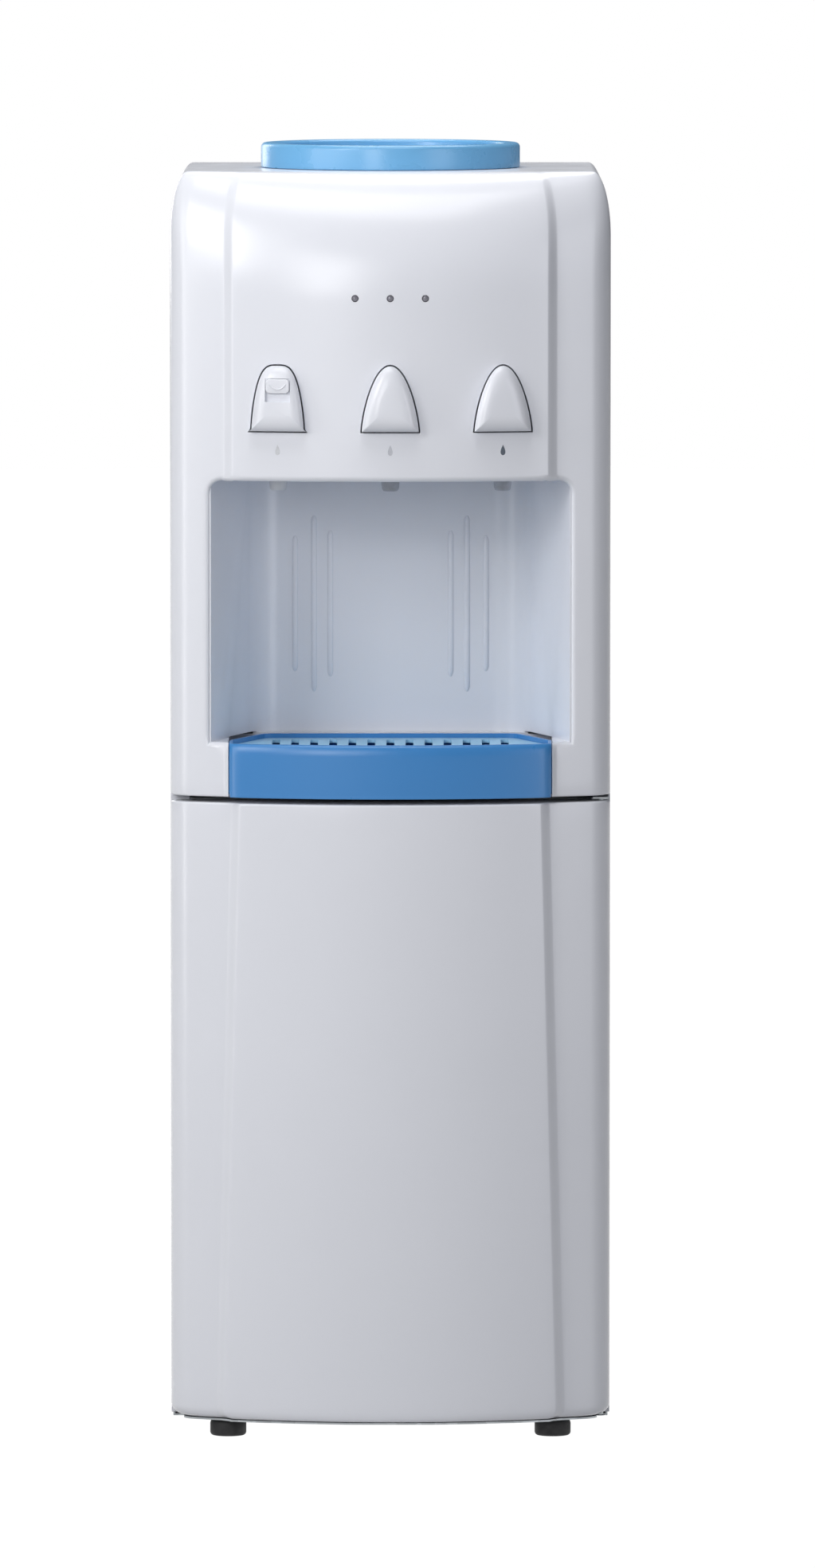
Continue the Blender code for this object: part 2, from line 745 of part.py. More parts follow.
def cover_form(inset, bottom, back=None):
    """Solid inside the upper cover's surface, with the forehead that rolls back to the deck."""
    line = plan(COVER_CREASE, SEAM_Y, inset, back)
    rings = [[(x, y, bottom) for x, y in line]]
    top = DECK_Z - inset
    for i in range(7):
        angle = math.radians(15 * i)
        z = FOREHEAD_Z + (top - FOREHEAD_Z) * math.sin(angle)
        lean = (1 - math.cos(angle)) * (1 - FOREHEAD_REST)
        keep = shoulder(z, inset)
        rings.append([(x * keep, y + max(SEAM_Y - y, 0.0) * lean, z) for x, y in line])
    return loft_mesh(rings)


def door_form(inset, back=None):
    """Solid inside the door's surface: narrower at its rounded foot, its creases splayed downwards."""
    bottom = DOOR_BOTTOM + inset
    top = DOOR_TOP - inset
    rings = []
    for i in range(4):
        angle = math.radians(30 * i)
        rings.append((bottom + DOOR_CORNER * (1 - math.cos(angle)), DOOR_CORNER * (1 - math.sin(angle))))
    rings += [((bottom + top) / 2, 0.0), (top, 0.0)]
    solid = []
    for z, narrow in rings:
        share = (z - DOOR_BOTTOM) / (DOOR_TOP - DOOR_BOTTOM)
        crease = DOOR_CREASE_BOTTOM + (DOOR_CREASE_TOP - DOOR_CREASE_BOTTOM) * share
        keep = 1 - narrow / HALF_WIDTH
        solid.append([(x * keep, y, z) for x, y in plan(crease, DOOR_REAR_Y, inset, back)])
    return loft_mesh(solid)


def arch_outline(inset, bottom):
    """Front view of the housing: straight sides and rounded top corners."""
    half = HALF_WIDTH - inset
    left = [(-half, bottom)]
    for i in range(7):
        z = DECK_Z - SHOULDER_HEIGHT + (SHOULDER_HEIGHT - inset) * math.sin(math.radians(15 * i))
        left.append((-half * shoulder(z, inset), z))
    return left + [(-x, z) for x, z in reversed(left)]


def button_outline(grow, squarer=False):
    """Bullet-shaped arch with a flat foot, as (x, z) about the foot's middle."""
    half = BUTTON_WIDTH / 2
    power, width = (3.4, BUTTON_SQUARE_SHARE) if squarer else (2.0, 1.0)
    outline = [(-half - grow, -grow), (half + grow, -grow)]
    steps = 14
    for i in range(1, steps):
        x = math.cos(math.pi * i / steps)
        outline.append(((half * width + grow) * x, (BUTTON_HEIGHT + grow) * (1 - abs(x) ** power) ** 0.72))
    return outline


def upper_front_cover():
    """Moulded front with its forehead, cut for the buttons, the lights, the recess and the tray."""
    cover = smooth(place("upper_front_cover", cover_form(0, COVER_BOTTOM), "white_abs"))
    below = COVER_BOTTOM - WALL
    ahead, behind = -FRONT - STEP_DEPTH, SEAM_Y - DOOR_SET_FORWARD
    cut(cover, place("cover_inside", cover_form(WALL, below, SEAM_Y + WALL), None))
    half = RECESS_HALF_WIDTH
    mouth = rounded_outline([(-half, RECESS_BOTTOM, 0), (half, RECESS_BOTTOM, 0),
                             (half, RECESS_TOP, RECESS_CORNER), (-half, RECESS_TOP, RECESS_CORNER)])
    cut(cover, prism("recess_mouth", mouth, ahead, behind, None, "Y"))
    slot = block_mesh((-TRAY_SLOT, ahead, below), (TRAY_SLOT, behind, RECESS_BOTTOM + WALL))
    cut(cover, place("tray_mouth", slot, None))
    holes = []
    for x, squarer in TAPS.values():
        outline = [(x + u, BUTTON_BOTTOM + v) for u, v in button_outline(BUTTON_CLEARANCE, squarer)]
        holes.append(prism_mesh(outline, ahead, front_y(x, COVER_CREASE) + BUTTON_DEPTH, "Y"))
    cut(cover, place("button_holes", group_mesh(holes), None))
    for x in (-LIGHT_X, 0, LIGHT_X):
        cut(cover, rod("light_hole", (x, ahead, LIGHT_Z), (x, -FRONT + BUTTON_DEPTH, LIGHT_Z),
                       LIGHT_RADIUS + LIGHT_CLEARANCE, None, sides=12))
    return cover


def niche_outline(inset):
    """Plan of the recess: drafted side walls and large fillets to the back wall."""
    front_half = RECESS_HALF_WIDTH - inset
    back_half = RECESS_BACK_HALF_WIDTH - inset
    ahead = -FRONT - RECESS_MOUTH
    fillet = RECESS_FILLET - inset
    return rounded_outline([(-front_half, RECESS_MOUTH_Y, 0), (-front_half - RECESS_FLARE, ahead, 0),
                            (front_half + RECESS_FLARE, ahead, 0), (front_half, RECESS_MOUTH_Y, 0),
                            (back_half, RECESS_BACK_Y - inset, fillet),
                            (-back_half, RECESS_BACK_Y - inset, fillet)], 6)


def recess_liner():
    """Niche behind the cover's mouth, with flutes on its back wall and the tray's pocket under it."""
    skin = LINER_SKIN
    side = TRAY_SLOT + GAP
    floor = COVER_BOTTOM + GAP
    ahead = -FRONT - RECESS_MOUTH
    back = TRAY_BACK_Y + RECESS_LAP
    liner = prism("recess_liner", niche_outline(-skin), RECESS_BOTTOM - skin, CEILING_Z - GAP, "white_abs")
    pocket = block_mesh((-side - skin, ahead, floor), (side + skin, back + skin, RECESS_BOTTOM - skin / 2))
    add(liner, place("pocket_outside", pocket, None))
    cut(liner, prism("niche_inside", niche_outline(0), RECESS_BOTTOM, CEILING_Z + skin, None))
    space = block_mesh((-side, ahead - skin, floor + skin), (side, back, RECESS_BOTTOM + skin / 2))
    cut(liner, place("pocket_inside", space, None))
    for share, height in zip(FLUTE_SHARES, FLUTE_HEIGHT_SHARES):
        length = RECESS_HEIGHT * height
        low = RECESS_BOTTOM + RECESS_HEIGHT * FLUTE_MIDDLE_SHARE - length / 2
        for x in (-RECESS_BACK_HALF_WIDTH * share, RECESS_BACK_HALF_WIDTH * share):
            y = RECESS_BACK_Y + FLUTE_RADIUS / 4
            add(liner, rod("flute", (x, y, low), (x, y, low + length), FLUTE_RADIUS, None, sides=8))
    trim(liner, place("liner_limit", cover_form(WALL + GAP, COVER_BOTTOM, REAR_Y), None))
    return smooth(liner)


def recess_ceiling():
    """Plate that closes the recess above, with a hole for each nozzle."""
    plate = prism("recess_ceiling", niche_outline(-LINER_SKIN), CEILING_Z, CEILING_Z + LINER_SKIN, "white_abs")
    for x, squarer in TAPS.values():
        y = front_y(x, COVER_CREASE) + TAP_SET_BACK
        cut(plate, rod("nozzle_hole", (x, y, CEILING_Z - LINER_SKIN), (x, y, CEILING_Z + LINER_SKIN * 2),
                       NOZZLE_RADIUS + NOZZLE_CLEARANCE, None))
    trim(plate, place("ceiling_limit", cover_form(WALL + GAP, COVER_BOTTOM, REAR_Y), None))
    return smooth(plate)


def top_cover():
    """Deck with its bottle well, and the rounded top of the sides behind the seam."""
    outside = arch_outline(0, TOP_COVER_BOTTOM)
    cover = smooth(prism("top_cover", outside, SEAM_Y + GAP, REAR_Y, "white_abs", "Y"))
    inside = arch_outline(WALL, TOP_COVER_BOTTOM - WALL)
    cut(cover, prism("deck_inside", inside, SEAM_Y - WALL, REAR_Y + WALL, None, "Y"))
    add(cover, rod("well_rim", (0, 0, DECK_Z - WELL_RIM), (0, 0, DECK_Z - WALL / 2), WELL_RADIUS + WALL, None,
                   sides=48))
    return cut(cover, rod("well_hole", (0, 0, DECK_Z - WELL_RIM * 2), (0, 0, DECK_Z + WALL), WELL_RADIUS,
                          None, sides=48))


def side_panels():
    """Folded steel sides, with a flange at each edge; the right one is notched for the hinge bracket."""
    for name, sign in (("side_panel_left", -1), ("side_panel_right", 1)):
        out, inner = HALF_WIDTH, HALF_WIDTH - SHEET
        edge = HALF_WIDTH - FLANGE
        front, rear = SEAM_Y + GAP, REAR_Y
        outline = [(out, front), (out, rear), (edge, rear), (edge, rear - SHEET), (inner, rear - SHEET),
                   (inner, front + SHEET), (edge, front + SHEET), (edge, front)]
        outline = [(sign * x, y) for x, y in outline]
        panel = prism(name, outline, DOOR_BOTTOM, TOP_COVER_BOTTOM - GAP, "painted_steel")
        if sign > 0:
            notch = block_mesh((edge - SHEET, front - FLANGE / 3, MID_PANEL_TOP),
                               (inner - GAP, front + FLANGE / 3, COVER_BOTTOM - SHEET))
            cut(panel, place("bracket_notch", notch, None))


def base_pan():
    """Folded floor pan with a tongue under the door that carries the lower hinge pin and the front feet."""
    half, front = SHEET_HALF_WIDTH, SHEET_FRONT_Y
    rear = REAR_Y - SHEET - GAP
    pan = block("base_pan", (-half, front, PAN_BOTTOM), (half, rear, PAN_BOTTOM + PAN_LIP), "galvanised")
    inside = block_mesh((-half + PAN_SHEET, front - PAN_LIP, PAN_TOP),
                        (half - PAN_SHEET, rear - PAN_SHEET, PAN_TOP + PAN_LIP))
    cut(pan, place("pan_inside", inside, None))
    line = inset_points(plan_points(DOOR_CREASE_BOTTOM, DOOR_REAR_Y), PAN_TONGUE_INSET)
    line = [(x, y) for x, y in line if y < HINGE_Y + PIN_RADIUS]
    tongue = line + [(-x, y) for x, y in reversed(line)]
    lap = front + 2 * PAN_SHEET
    tongue += [(tongue[-1][0], lap), (tongue[0][0], lap)]
    return add(pan, prism("pan_tongue", tongue, PAN_BOTTOM, PAN_TOP, None))


def feet():
    spots = (("foot_front_left", -FOOT_X, FOOT_FRONT_Y), ("foot_front_right", FOOT_X, FOOT_FRONT_Y),
             ("foot_rear_left", -FOOT_X, FOOT_REAR_Y), ("foot_rear_right", FOOT_X, FOOT_REAR_Y))
    top = PAN_BOTTOM - GAP
    profile = [(0, top), (FOOT_RADIUS - FOOT_CHAMFER, top), (FOOT_RADIUS, top - FOOT_SHOULDER),
               (FOOT_RADIUS, FOOT_CHAMFER), (FOOT_RADIUS - FOOT_CHAMFER, 0), (0, 0)]
    for name, x, y in spots:
        turned(name, profile, (x, y, 0), "rubber", 18)


def mid_panel():
    return block("mid_panel", (-SHEET_HALF_WIDTH, SHEET_FRONT_Y, MID_PANEL_BOTTOM),
                 (SHEET_HALF_WIDTH, REAR_Y - DUCT - 2 * SHEET, MID_PANEL_TOP), "galvanised")


def back_panel():
    """Flat back with vent slots and the holes for the switches, the drain and the cord gland."""
    half = SHEET_HALF_WIDTH
    low, high = BACK_PANEL_BOTTOM, DECK_Z - WALL * 2
    before, after = PLATE_Y - CAP_WALL, PLATE_Y + CAP_WALL
    panel = block("back_panel", (-half, PLATE_Y, low), (half, PLATE_Y + SHEET, high), "galvanised")
    corners = arch_outline(WALL + GAP, low - WALL)
    trim(panel, prism("panel_limit", corners, before, after, None, "Y"))
    slots = []
    for row in range(VENT_ROWS):
        z = DECK_Z - VENT_DROP + VENT_PITCH * row
        for x in (-HALF_WIDTH * VENT_SHARE, 0, HALF_WIDTH * VENT_SHARE):
            slots.append(block_mesh((x - VENT_HALF_LENGTH, before, z),
                                    (x + VENT_HALF_LENGTH, after, z + VENT_HEIGHT)))
    cut(panel, place("vents", group_mesh(slots), None))
    wide, tall = BANK_HALF_WIDTH + 2 * GAP, BANK_HALF_HEIGHT + 2 * GAP
    hole = block_mesh((SWITCH_X - wide, before, SWITCH_Z - tall), (SWITCH_X + wide, after, SWITCH_Z + tall))
    cut(panel, place("switch_hole", hole, None))
    for name, x, z, radius in (("drain_hole", HOT_X, DRAIN_Z, TUBE_RADIUS),
                               ("gland_hole", GLAND_X, GLAND_Z, GLAND_BODY)):
        cut(panel, rod(name, (x, before, z), (x, after, z), radius + PORT_CLEARANCE, None))
    return panel


def liner_side(inset, front):
    """Side view of the cabinet liner, with the hump over the compressor, as (y, z)."""
    rear = LINER_REAR_Y - inset
    top = MID_PANEL_BOTTOM - GAP - inset
    return [(front, LINER_BOTTOM + inset), (HUMP_Y - inset, LINER_BOTTOM + inset),
            (HUMP_Y - inset, HUMP_HEIGHT + inset),
            (rear, HUMP_HEIGHT + inset), (rear, top), (front, top)]


def cabinet_liner():
    half = LINER_HALF_WIDTH
    front = SEAM_Y + GAP
    liner = prism("cabinet_liner", liner_side(0, front), -half, half, "inner_abs", "X")
    inner = half - LINER_WALL
    cut(liner, prism("cabinet_space", liner_side(LINER_WALL, front - LINER_WALL), -inner, inner, None, "X"))
    top = HUMP_HEIGHT + LINER_WALL
    for side in (-1, 1):
        ends = sorted((side * (inner - LEDGE_WIDTH), side * (inner + LINER_WALL / 3)))
        ledge = block_mesh((ends[0], front + SHELF_SET_BACK + SHELF, top - LEDGE_HEIGHT),
                           (ends[1], HUMP_Y - LINER_WALL / 2, top))
        add(liner, place("shelf_ledge", ledge, None))
    return liner


def cabinet_shelf():
    half = LINER_HALF_WIDTH - LINER_WALL - GAP
    bottom = HUMP_HEIGHT + LINER_WALL + GAP
    shelf = block("cabinet_shelf", (-half, SEAM_Y + SHELF_SET_BACK, bottom),
                  (half, LINER_REAR_Y - LINER_WALL - GAP, bottom + SHELF), "pale_blue_abs")
    round_edges(shelf, SHELF / 4, 1)
    return shelf


def door_catch():
    """Magnetic catch on the liner's wall, away from the hinge."""
    side = -(LINER_HALF_WIDTH - LINER_WALL - GAP)
    front = SEAM_Y + LINER_WALL
    bottom = HUMP_HEIGHT + CATCH_RISE
    return block("door_catch", (side, front, bottom), (side + CATCH_WIDTH, front + CATCH_DEPTH,
                                                       bottom + CATCH_HEIGHT),
                 "rubber", edge=CATCH_WIDTH / 10)


def hinge_parts():
    """Bracket with the upper pin over the door, and the lower pin with its shoulder on the pan."""
    low = MID_PANEL_TOP + GAP
    x = HINGE_X - BRACKET_WIDTH / 2
    y = HINGE_Y - BRACKET_WIDTH / 2
    bracket = block("hinge_bracket_upper", (x, y, low), (x + BRACKET_WIDTH, y + BRACKET_LENGTH,
                                                         low + BRACKET_SHEET),
                    "galvanised")
    add(bracket, rod("upper_pin", (HINGE_X, HINGE_Y, DOOR_TOP - PIN_LENGTH),
                     (HINGE_X, HINGE_Y, low + BRACKET_SHEET / 3),
                     PIN_RADIUS, None))
    top, shoulder_top, foot = DOOR_BOTTOM + PIN_LENGTH, DOOR_BOTTOM - 2 * GAP, PAN_TOP + GAP
    profile = [(0, top), (PIN_RADIUS, top), (PIN_RADIUS, shoulder_top),
               (PIN_RADIUS + PIN_SHOULDER, shoulder_top),
               (PIN_RADIUS + PIN_SHOULDER, foot), (0, foot)]
    turned("hinge_pin_lower", profile, (HINGE_X, HINGE_Y, 0), "galvanised", 16)


def door(hinge):
    """Outer shell with hinge bosses, inner panel and gasket."""
    pivot = hinge.location
    shell = smooth(place("door_outer_shell", door_form(0), "white_abs", hinge, pivot))
    cut(shell, place("door_inside", door_form(WALL, DOOR_REAR_Y + WALL), None))
    play = PIN_CLEARANCE * 2
    bosses = ((DOOR_TOP - BOSS_LENGTH, DOOR_TOP - WALL / 2), (DOOR_BOTTOM + WALL * 0.9,
                                                              DOOR_BOTTOM + BOSS_LENGTH))
    for low, high in bosses:
        add(shell, rod("hinge_boss", (HINGE_X, HINGE_Y, low), (HINGE_X, HINGE_Y, high), BOSS_RADIUS, None))
    bores = ((DOOR_TOP - PIN_LENGTH - play, DOOR_TOP + WALL), (DOOR_BOTTOM - WALL,
                                                               DOOR_BOTTOM + PIN_LENGTH + play))
    for low, high in bores:
        cut(shell, rod("pin_bore", (HINGE_X, HINGE_Y, low), (HINGE_X, HINGE_Y, high),
                       PIN_RADIUS + PIN_CLEARANCE, None))
    half = HALF_WIDTH - WALL - GAP
    low, high = DOOR_BOTTOM + WALL + GAP, DOOR_TOP - WALL - GAP
    rear = DOOR_REAR_Y - GAP * 0.7
    corner = DOOR_CORNER + WALL + 2 * GAP
    outline = rounded_outline([(-half, low, corner), (half, low, corner), (half, high, 0), (-half, high, 0)])
    panel = prism("door_inner_panel", outline, rear - DOOR_PANEL, rear, "inner_abs", "Y", hinge, pivot)
    margin = DOOR_PAD_MARGIN
    dish = block_mesh((-half + margin, rear - DOOR_PAD_DEPTH, low + margin),
                      (half - margin, rear + WALL, high - margin))
    cut(panel, place("panel_dish", dish, None))
    out_x = LINER_HALF_WIDTH - 2 * GAP
    out_low, out_high = LINER_BOTTOM + SHEET, MID_PANEL_BOTTOM - SHELF
    inn = GASKET_WIDTH
    gasket = block("door_gasket", (-out_x, DOOR_REAR_Y + GAP / 3, out_low), (out_x, SEAM_Y, out_high),
                   "rubber",
                   hinge, origin=pivot)
    window = block_mesh((-out_x + inn, DOOR_REAR_Y - WALL, out_low + inn),
                        (out_x - inn, SEAM_Y + WALL, out_high - inn))
    cut(gasket, place("gasket_window", window, None))


def tray_outline(inset, front_inset, push=False):
    """Plan of the tray: its front continues the raised panel, and its sides draw in towards the back."""
    half = TRAY_HALF_WIDTH - inset
    back_half = TRAY_BACK_HALF_WIDTH - inset
    back = TRAY_BACK_Y - inset
    edges = [half - TRAY_BORDER * share for share in (0.0, 0.15, 0.5, 1.0)]
    inner = [edges[-1] * share for share in (0.75, 0.5, 0.25)]
    left = [-x for x in edges + inner]
    front = []
    for x in left + [0.0] + [-x for x in reversed(left)]:
        drop = TRAY_SIDE_DROP * fillet_drop(1 - (half - abs(x)) / TRAY_BORDER) if push else 0.0
        front.append((x, front_y(x, HALF_WIDTH) + front_inset + drop))
    knee = SEAM_Y - TRAY_KNEE
    radius = TRAY_CORNER - inset * 0.8
    return front + rounded_outline([(half, knee, 0), (back_half, back, radius), (-back_half, back, radius),
                                    (-half, knee, 0)], 3)


def drip_tray(slide):
    """Deep tray whose front has rounded borders, with a rim that carries the grille."""
    bottom = COVER_BOTTOM + GAP * 0.7
    base = COVER_BOTTOM + 2 * GAP + LINER_SKIN
    rings = [[(x, y, bottom) for x, y in tray_outline(0, 0, True)]]
    for i in range(4):
        rise = math.sin(math.radians(30 * i))
        outline = tray_outline(0, TRAY_TOP_DROP * fillet_drop(rise), True)
        rings.append([(x, y, TRAY_TOP - TRAY_BORDER * (1 - rise)) for x, y in outline])
    tray = place("drip_tray", loft_mesh(rings), "blue_abs", slide, slide.location)
    wall, front_wall = TRAY_WALL, TRAY_FRONT_WALL
    cut(tray, prism("tray_rim", tray_outline(wall, front_wall), GRILLE_BOTTOM, TRAY_TOP + wall, None))
    inner, front_inner = wall + TRAY_LEDGE, front_wall + TRAY_LEDGE
    cut(tray, prism("tray_space", tray_outline(inner, front_inner), base + wall, GRILLE_BOTTOM + wall, None))
    cut(tray, prism("tray_under", tray_outline(-wall, wall), bottom - wall, base, None))
    return smooth(tray)


def drip_grille(lift):
    low = GRILLE_BOTTOM + GAP
    edge, front_edge = TRAY_WALL + 2 * GAP, TRAY_FRONT_WALL + 2 * GAP
    grille = prism("drip_grille", tray_outline(edge, front_edge), low, low + GRILLE, "pale_blue_abs", "Z",
                   lift, lift.location)
    front, back = -FRONT + GRILLE_SLOT_FRONT, TRAY_BACK_Y - GRILLE_SLOT_BACK
    slots = []
    for i in range(GRILLE_SLOTS):
        x = GRILLE_PITCH * (i - (GRILLE_SLOTS - 1) / 2)
        slots.append(block_mesh((x - GRILLE_SLOT / 2, front, low - GRILLE),
                                (x + GRILLE_SLOT / 2, back, low + 2 * GRILLE)))
    return cut(grille, place("grille_slots", group_mesh(slots), None))


def button_form(x, squarer):
    """Push button: steep sides that roll over into a crowned face, thinner towards its top."""
    outline = button_outline(0, squarer)
    face = front_y(x, COVER_CREASE)
    slope = x / PANEL_RADIUS
    back = face - BUTTON_PROUD + BUTTON_DEPTH
    heart = BUTTON_HEIGHT * BUTTON_HEART
    crown = math.radians(BUTTON_ROLL[-1])
    lowest = heart * (1 - math.cos(crown) ** BUTTON_FULLNESS)
    rings = [[(x + u, back + slope * u, BUTTON_BOTTOM + v) for u, v in outline]]
    for angle in BUTTON_ROLL:
        share = math.cos(math.radians(angle)) ** BUTTON_FULLNESS
        rise = (math.sin(math.radians(angle)) / math.sin(crown)) ** 0.8
        ring = []
        for u, v in outline:
            w, h = u * share, heart + (v - heart) * share
            thin = BUTTON_THINNING * (max(0.0, h - lowest) / BUTTON_HEIGHT) ** 1.6
            proud = (BUTTON_SKIRT + (BUTTON_PROUD - BUTTON_SKIRT) * rise) * (1 - thin)
            ring.append((x + w, face - proud + slope * w, BUTTON_BOTTOM + h))
        rings.append(ring)
    return loft_mesh(rings)


def leaned_block(x, low, high):
    """Block whose face follows the front where it lies, at the side of the middle."""
    mesh = block_mesh((x - low[0], low[1], low[2]), (x + high[0], high[1], high[2]))
    for vertex in mesh.vertices:
        vertex.co.y += x / PANEL_RADIUS * (vertex.co.x - x)
    return mesh


def tap_buttons():
    """Three push buttons, each hinged near its top, with the plunger that it drives and its tap."""
    for name, (x, squarer) in TAPS.items():
        face = front_y(x, COVER_CREASE)
        axis = (x, face + BUTTON_AXIS_DEPTH, BUTTON_BOTTOM + BUTTON_HEIGHT - BUTTON_AXIS_DROP)
        pivot = empty(f"{name}_pivot", axis)
        button = place(f"{name}_button", button_form(x, squarer), "white_abs", pivot, axis)
        start = face - BUTTON_PROUD + BUTTON_DEPTH + PLUNGER_REACH
        rod(f"{name}_plunger", (x, start, PLUNGER_Z), (x, start + PLUNGER_LENGTH, PLUNGER_Z), PLUNGER_RADIUS,
            "pale_blue_abs", sides=16)
        tap(name, x, face)
        if squarer:
            child_lock(x, face - BUTTON_PROUD + LOCK_POCKET, button, pivot)
        smooth(button, 50)


def child_lock(x, floor, button, pivot):
    """Slide in a channel of the hot button's face, which keeps the button from being pushed."""
    half, tall = LOCK_HALF_WIDTH, LOCK_HALF_HEIGHT
    middle = BUTTON_BOTTOM + BUTTON_HEIGHT * LOCK_SHARE
    room = LOCK_CLEARANCE
    low = middle - tall - LOCK_TRAVEL - room
    channel = leaned_block(x, (half + room, floor - LOCK_THICKNESS * 3, low),
                           (half + room, floor, middle + tall + room))
    cut(button, place("lock_channel", channel, None))
    front = floor - GAP - LOCK_THICKNESS
    mesh = leaned_block(x, (half, front, middle - tall), (half, floor - GAP, middle + tall))
    lock = place("child_lock_slide", mesh, "white_abs", pivot, (x, front, middle))
    round_edges(lock, LOCK_THICKNESS * 0.35)


def tap(name, x, face):
    """Valve body over the recess, with its nozzle, its inlet and the guide of its plunger."""
    front = face + TAP_FRONT
    y = face + TAP_SET_BACK
    bottom = CEILING_Z + LINER_SKIN + GAP
    half, radius = TAP_HALF_WIDTH, NOZZLE_RADIUS
    body = block(f"{name}_tap", (x - half, front, bottom), (x + half, y + half, TAP_TOP), "white_abs")
    lap = half / 3
    chamfer = radius * 0.2
    profile = [(0, bottom + lap), (radius, bottom + lap), (radius, NOZZLE_TIP + lap + chamfer),
               (radius - chamfer, NOZZLE_TIP),
               (0, NOZZLE_TIP)]
    add(body, turned(f"{name}_nozzle", profile, (x, y, 0), None, 16))
    cut(body, rod("nozzle_bore", (x, y, NOZZLE_TIP - half), (x, y, NOZZLE_TIP + half), NOZZLE_BORE, None,
                  sides=10))
    add(body, rod("inlet", (x, y, TAP_TOP - WALL), (x, y, TAP_TOP + TAP_INLET), TUBE_RADIUS, None, sides=10))
    guide = PLUNGER_RADIUS + PLUNGER_CLEARANCE
    cut(body, rod("plunger_guide", (x, front - half, PLUNGER_Z), (x, front + half * 1.3, PLUNGER_Z), guide,
                  None, sides=10))


def lights():
    """Light guide with three lens tips through the cover, and the board behind it."""
    front = -FRONT + LIGHT_BAR_SET_BACK
    half = LIGHT_X + 2 * LIGHT_RADIUS
    rear = front + LIGHT_BAR
    guide = block("light_guide", (-half, front, LIGHT_Z - LIGHT_RADIUS * 1.7),
                  (half, rear, LIGHT_Z + LIGHT_RADIUS * 1.7),
                  "clear_plastic")
    for x in (-LIGHT_X, 0, LIGHT_X):
        tip = front_y(x, COVER_CREASE) + GAP
        add(guide, rod("light_tip", (x, tip, LIGHT_Z), (x, front + LIGHT_BAR / 3, LIGHT_Z), LIGHT_RADIUS,
                       None, sides=12))
    tall = BOARD_HALF_HEIGHT
    block("light_board", (-half - tall / 3, rear + GAP, LIGHT_Z - tall),
          (half + tall / 3, rear + GAP + BOARD, LIGHT_Z + tall),
          "circuit_board")


def bottle_seat(lift):
    """Blue ring and funnel that the bottle stands in, with the feed probe in its middle."""
    deck = DECK_Z + GAP
    inner = COLLAR_RADIUS - COLLAR_BAND
    neck = WELL_RADIUS - NECK_CLEARANCE
    wall = FUNNEL_WALL
    hole = PROBE_RADIUS + GAP * 5 / 3
    edge = COLLAR_EDGE
    profile = [(inner + wall, COLLAR_TOP), (COLLAR_RADIUS - edge, COLLAR_TOP),
               (COLLAR_RADIUS - edge * 0.3, COLLAR_TOP - edge * 0.3),
               (COLLAR_RADIUS, COLLAR_TOP - edge), (COLLAR_RADIUS, deck), (neck, deck),
               (neck, DECK_Z - NECK_DEPTH),
               (FUNNEL_FLOOR_RADIUS, FUNNEL_BOTTOM), (hole, FUNNEL_BOTTOM), (hole, FUNNEL_FLOOR),
               (FUNNEL_FLOOR_RADIUS + wall / 3, FUNNEL_FLOOR), (neck - wall, DECK_Z - NECK_DEPTH + edge),
               (neck - wall, COLLAR_TOP - edge * 2), (inner, COLLAR_TOP - wall)]
    turned("bottle_collar", profile, (0, 0, 0), "blue_abs", 40, lift, closed=True)
    foot = FUNNEL_FLOOR + GAP
    radius = PROBE_RADIUS
    bore = PROBE_BORE
    profile = [(bore, PROBE_TOP), (bore * 3, PROBE_TOP - bore), (radius - bore, PROBE_TOP - bore * 5),
               (radius - bore / 2, foot + wall * 1.3), (PROBE_FOOT, foot + wall), (PROBE_FOOT, foot),
               (radius, foot),
               (radius, FUNNEL_BOTTOM - bore * 3), (bore, FUNNEL_BOTTOM - bore * 3)]
    turned("feed_probe", profile, (0, 0, 0), "pale_blue_abs", 16, lift, closed=True)


def polar(radius, degrees, z):
    angle = math.radians(degrees)
    return (radius * math.cos(angle), radius * math.sin(angle), z)


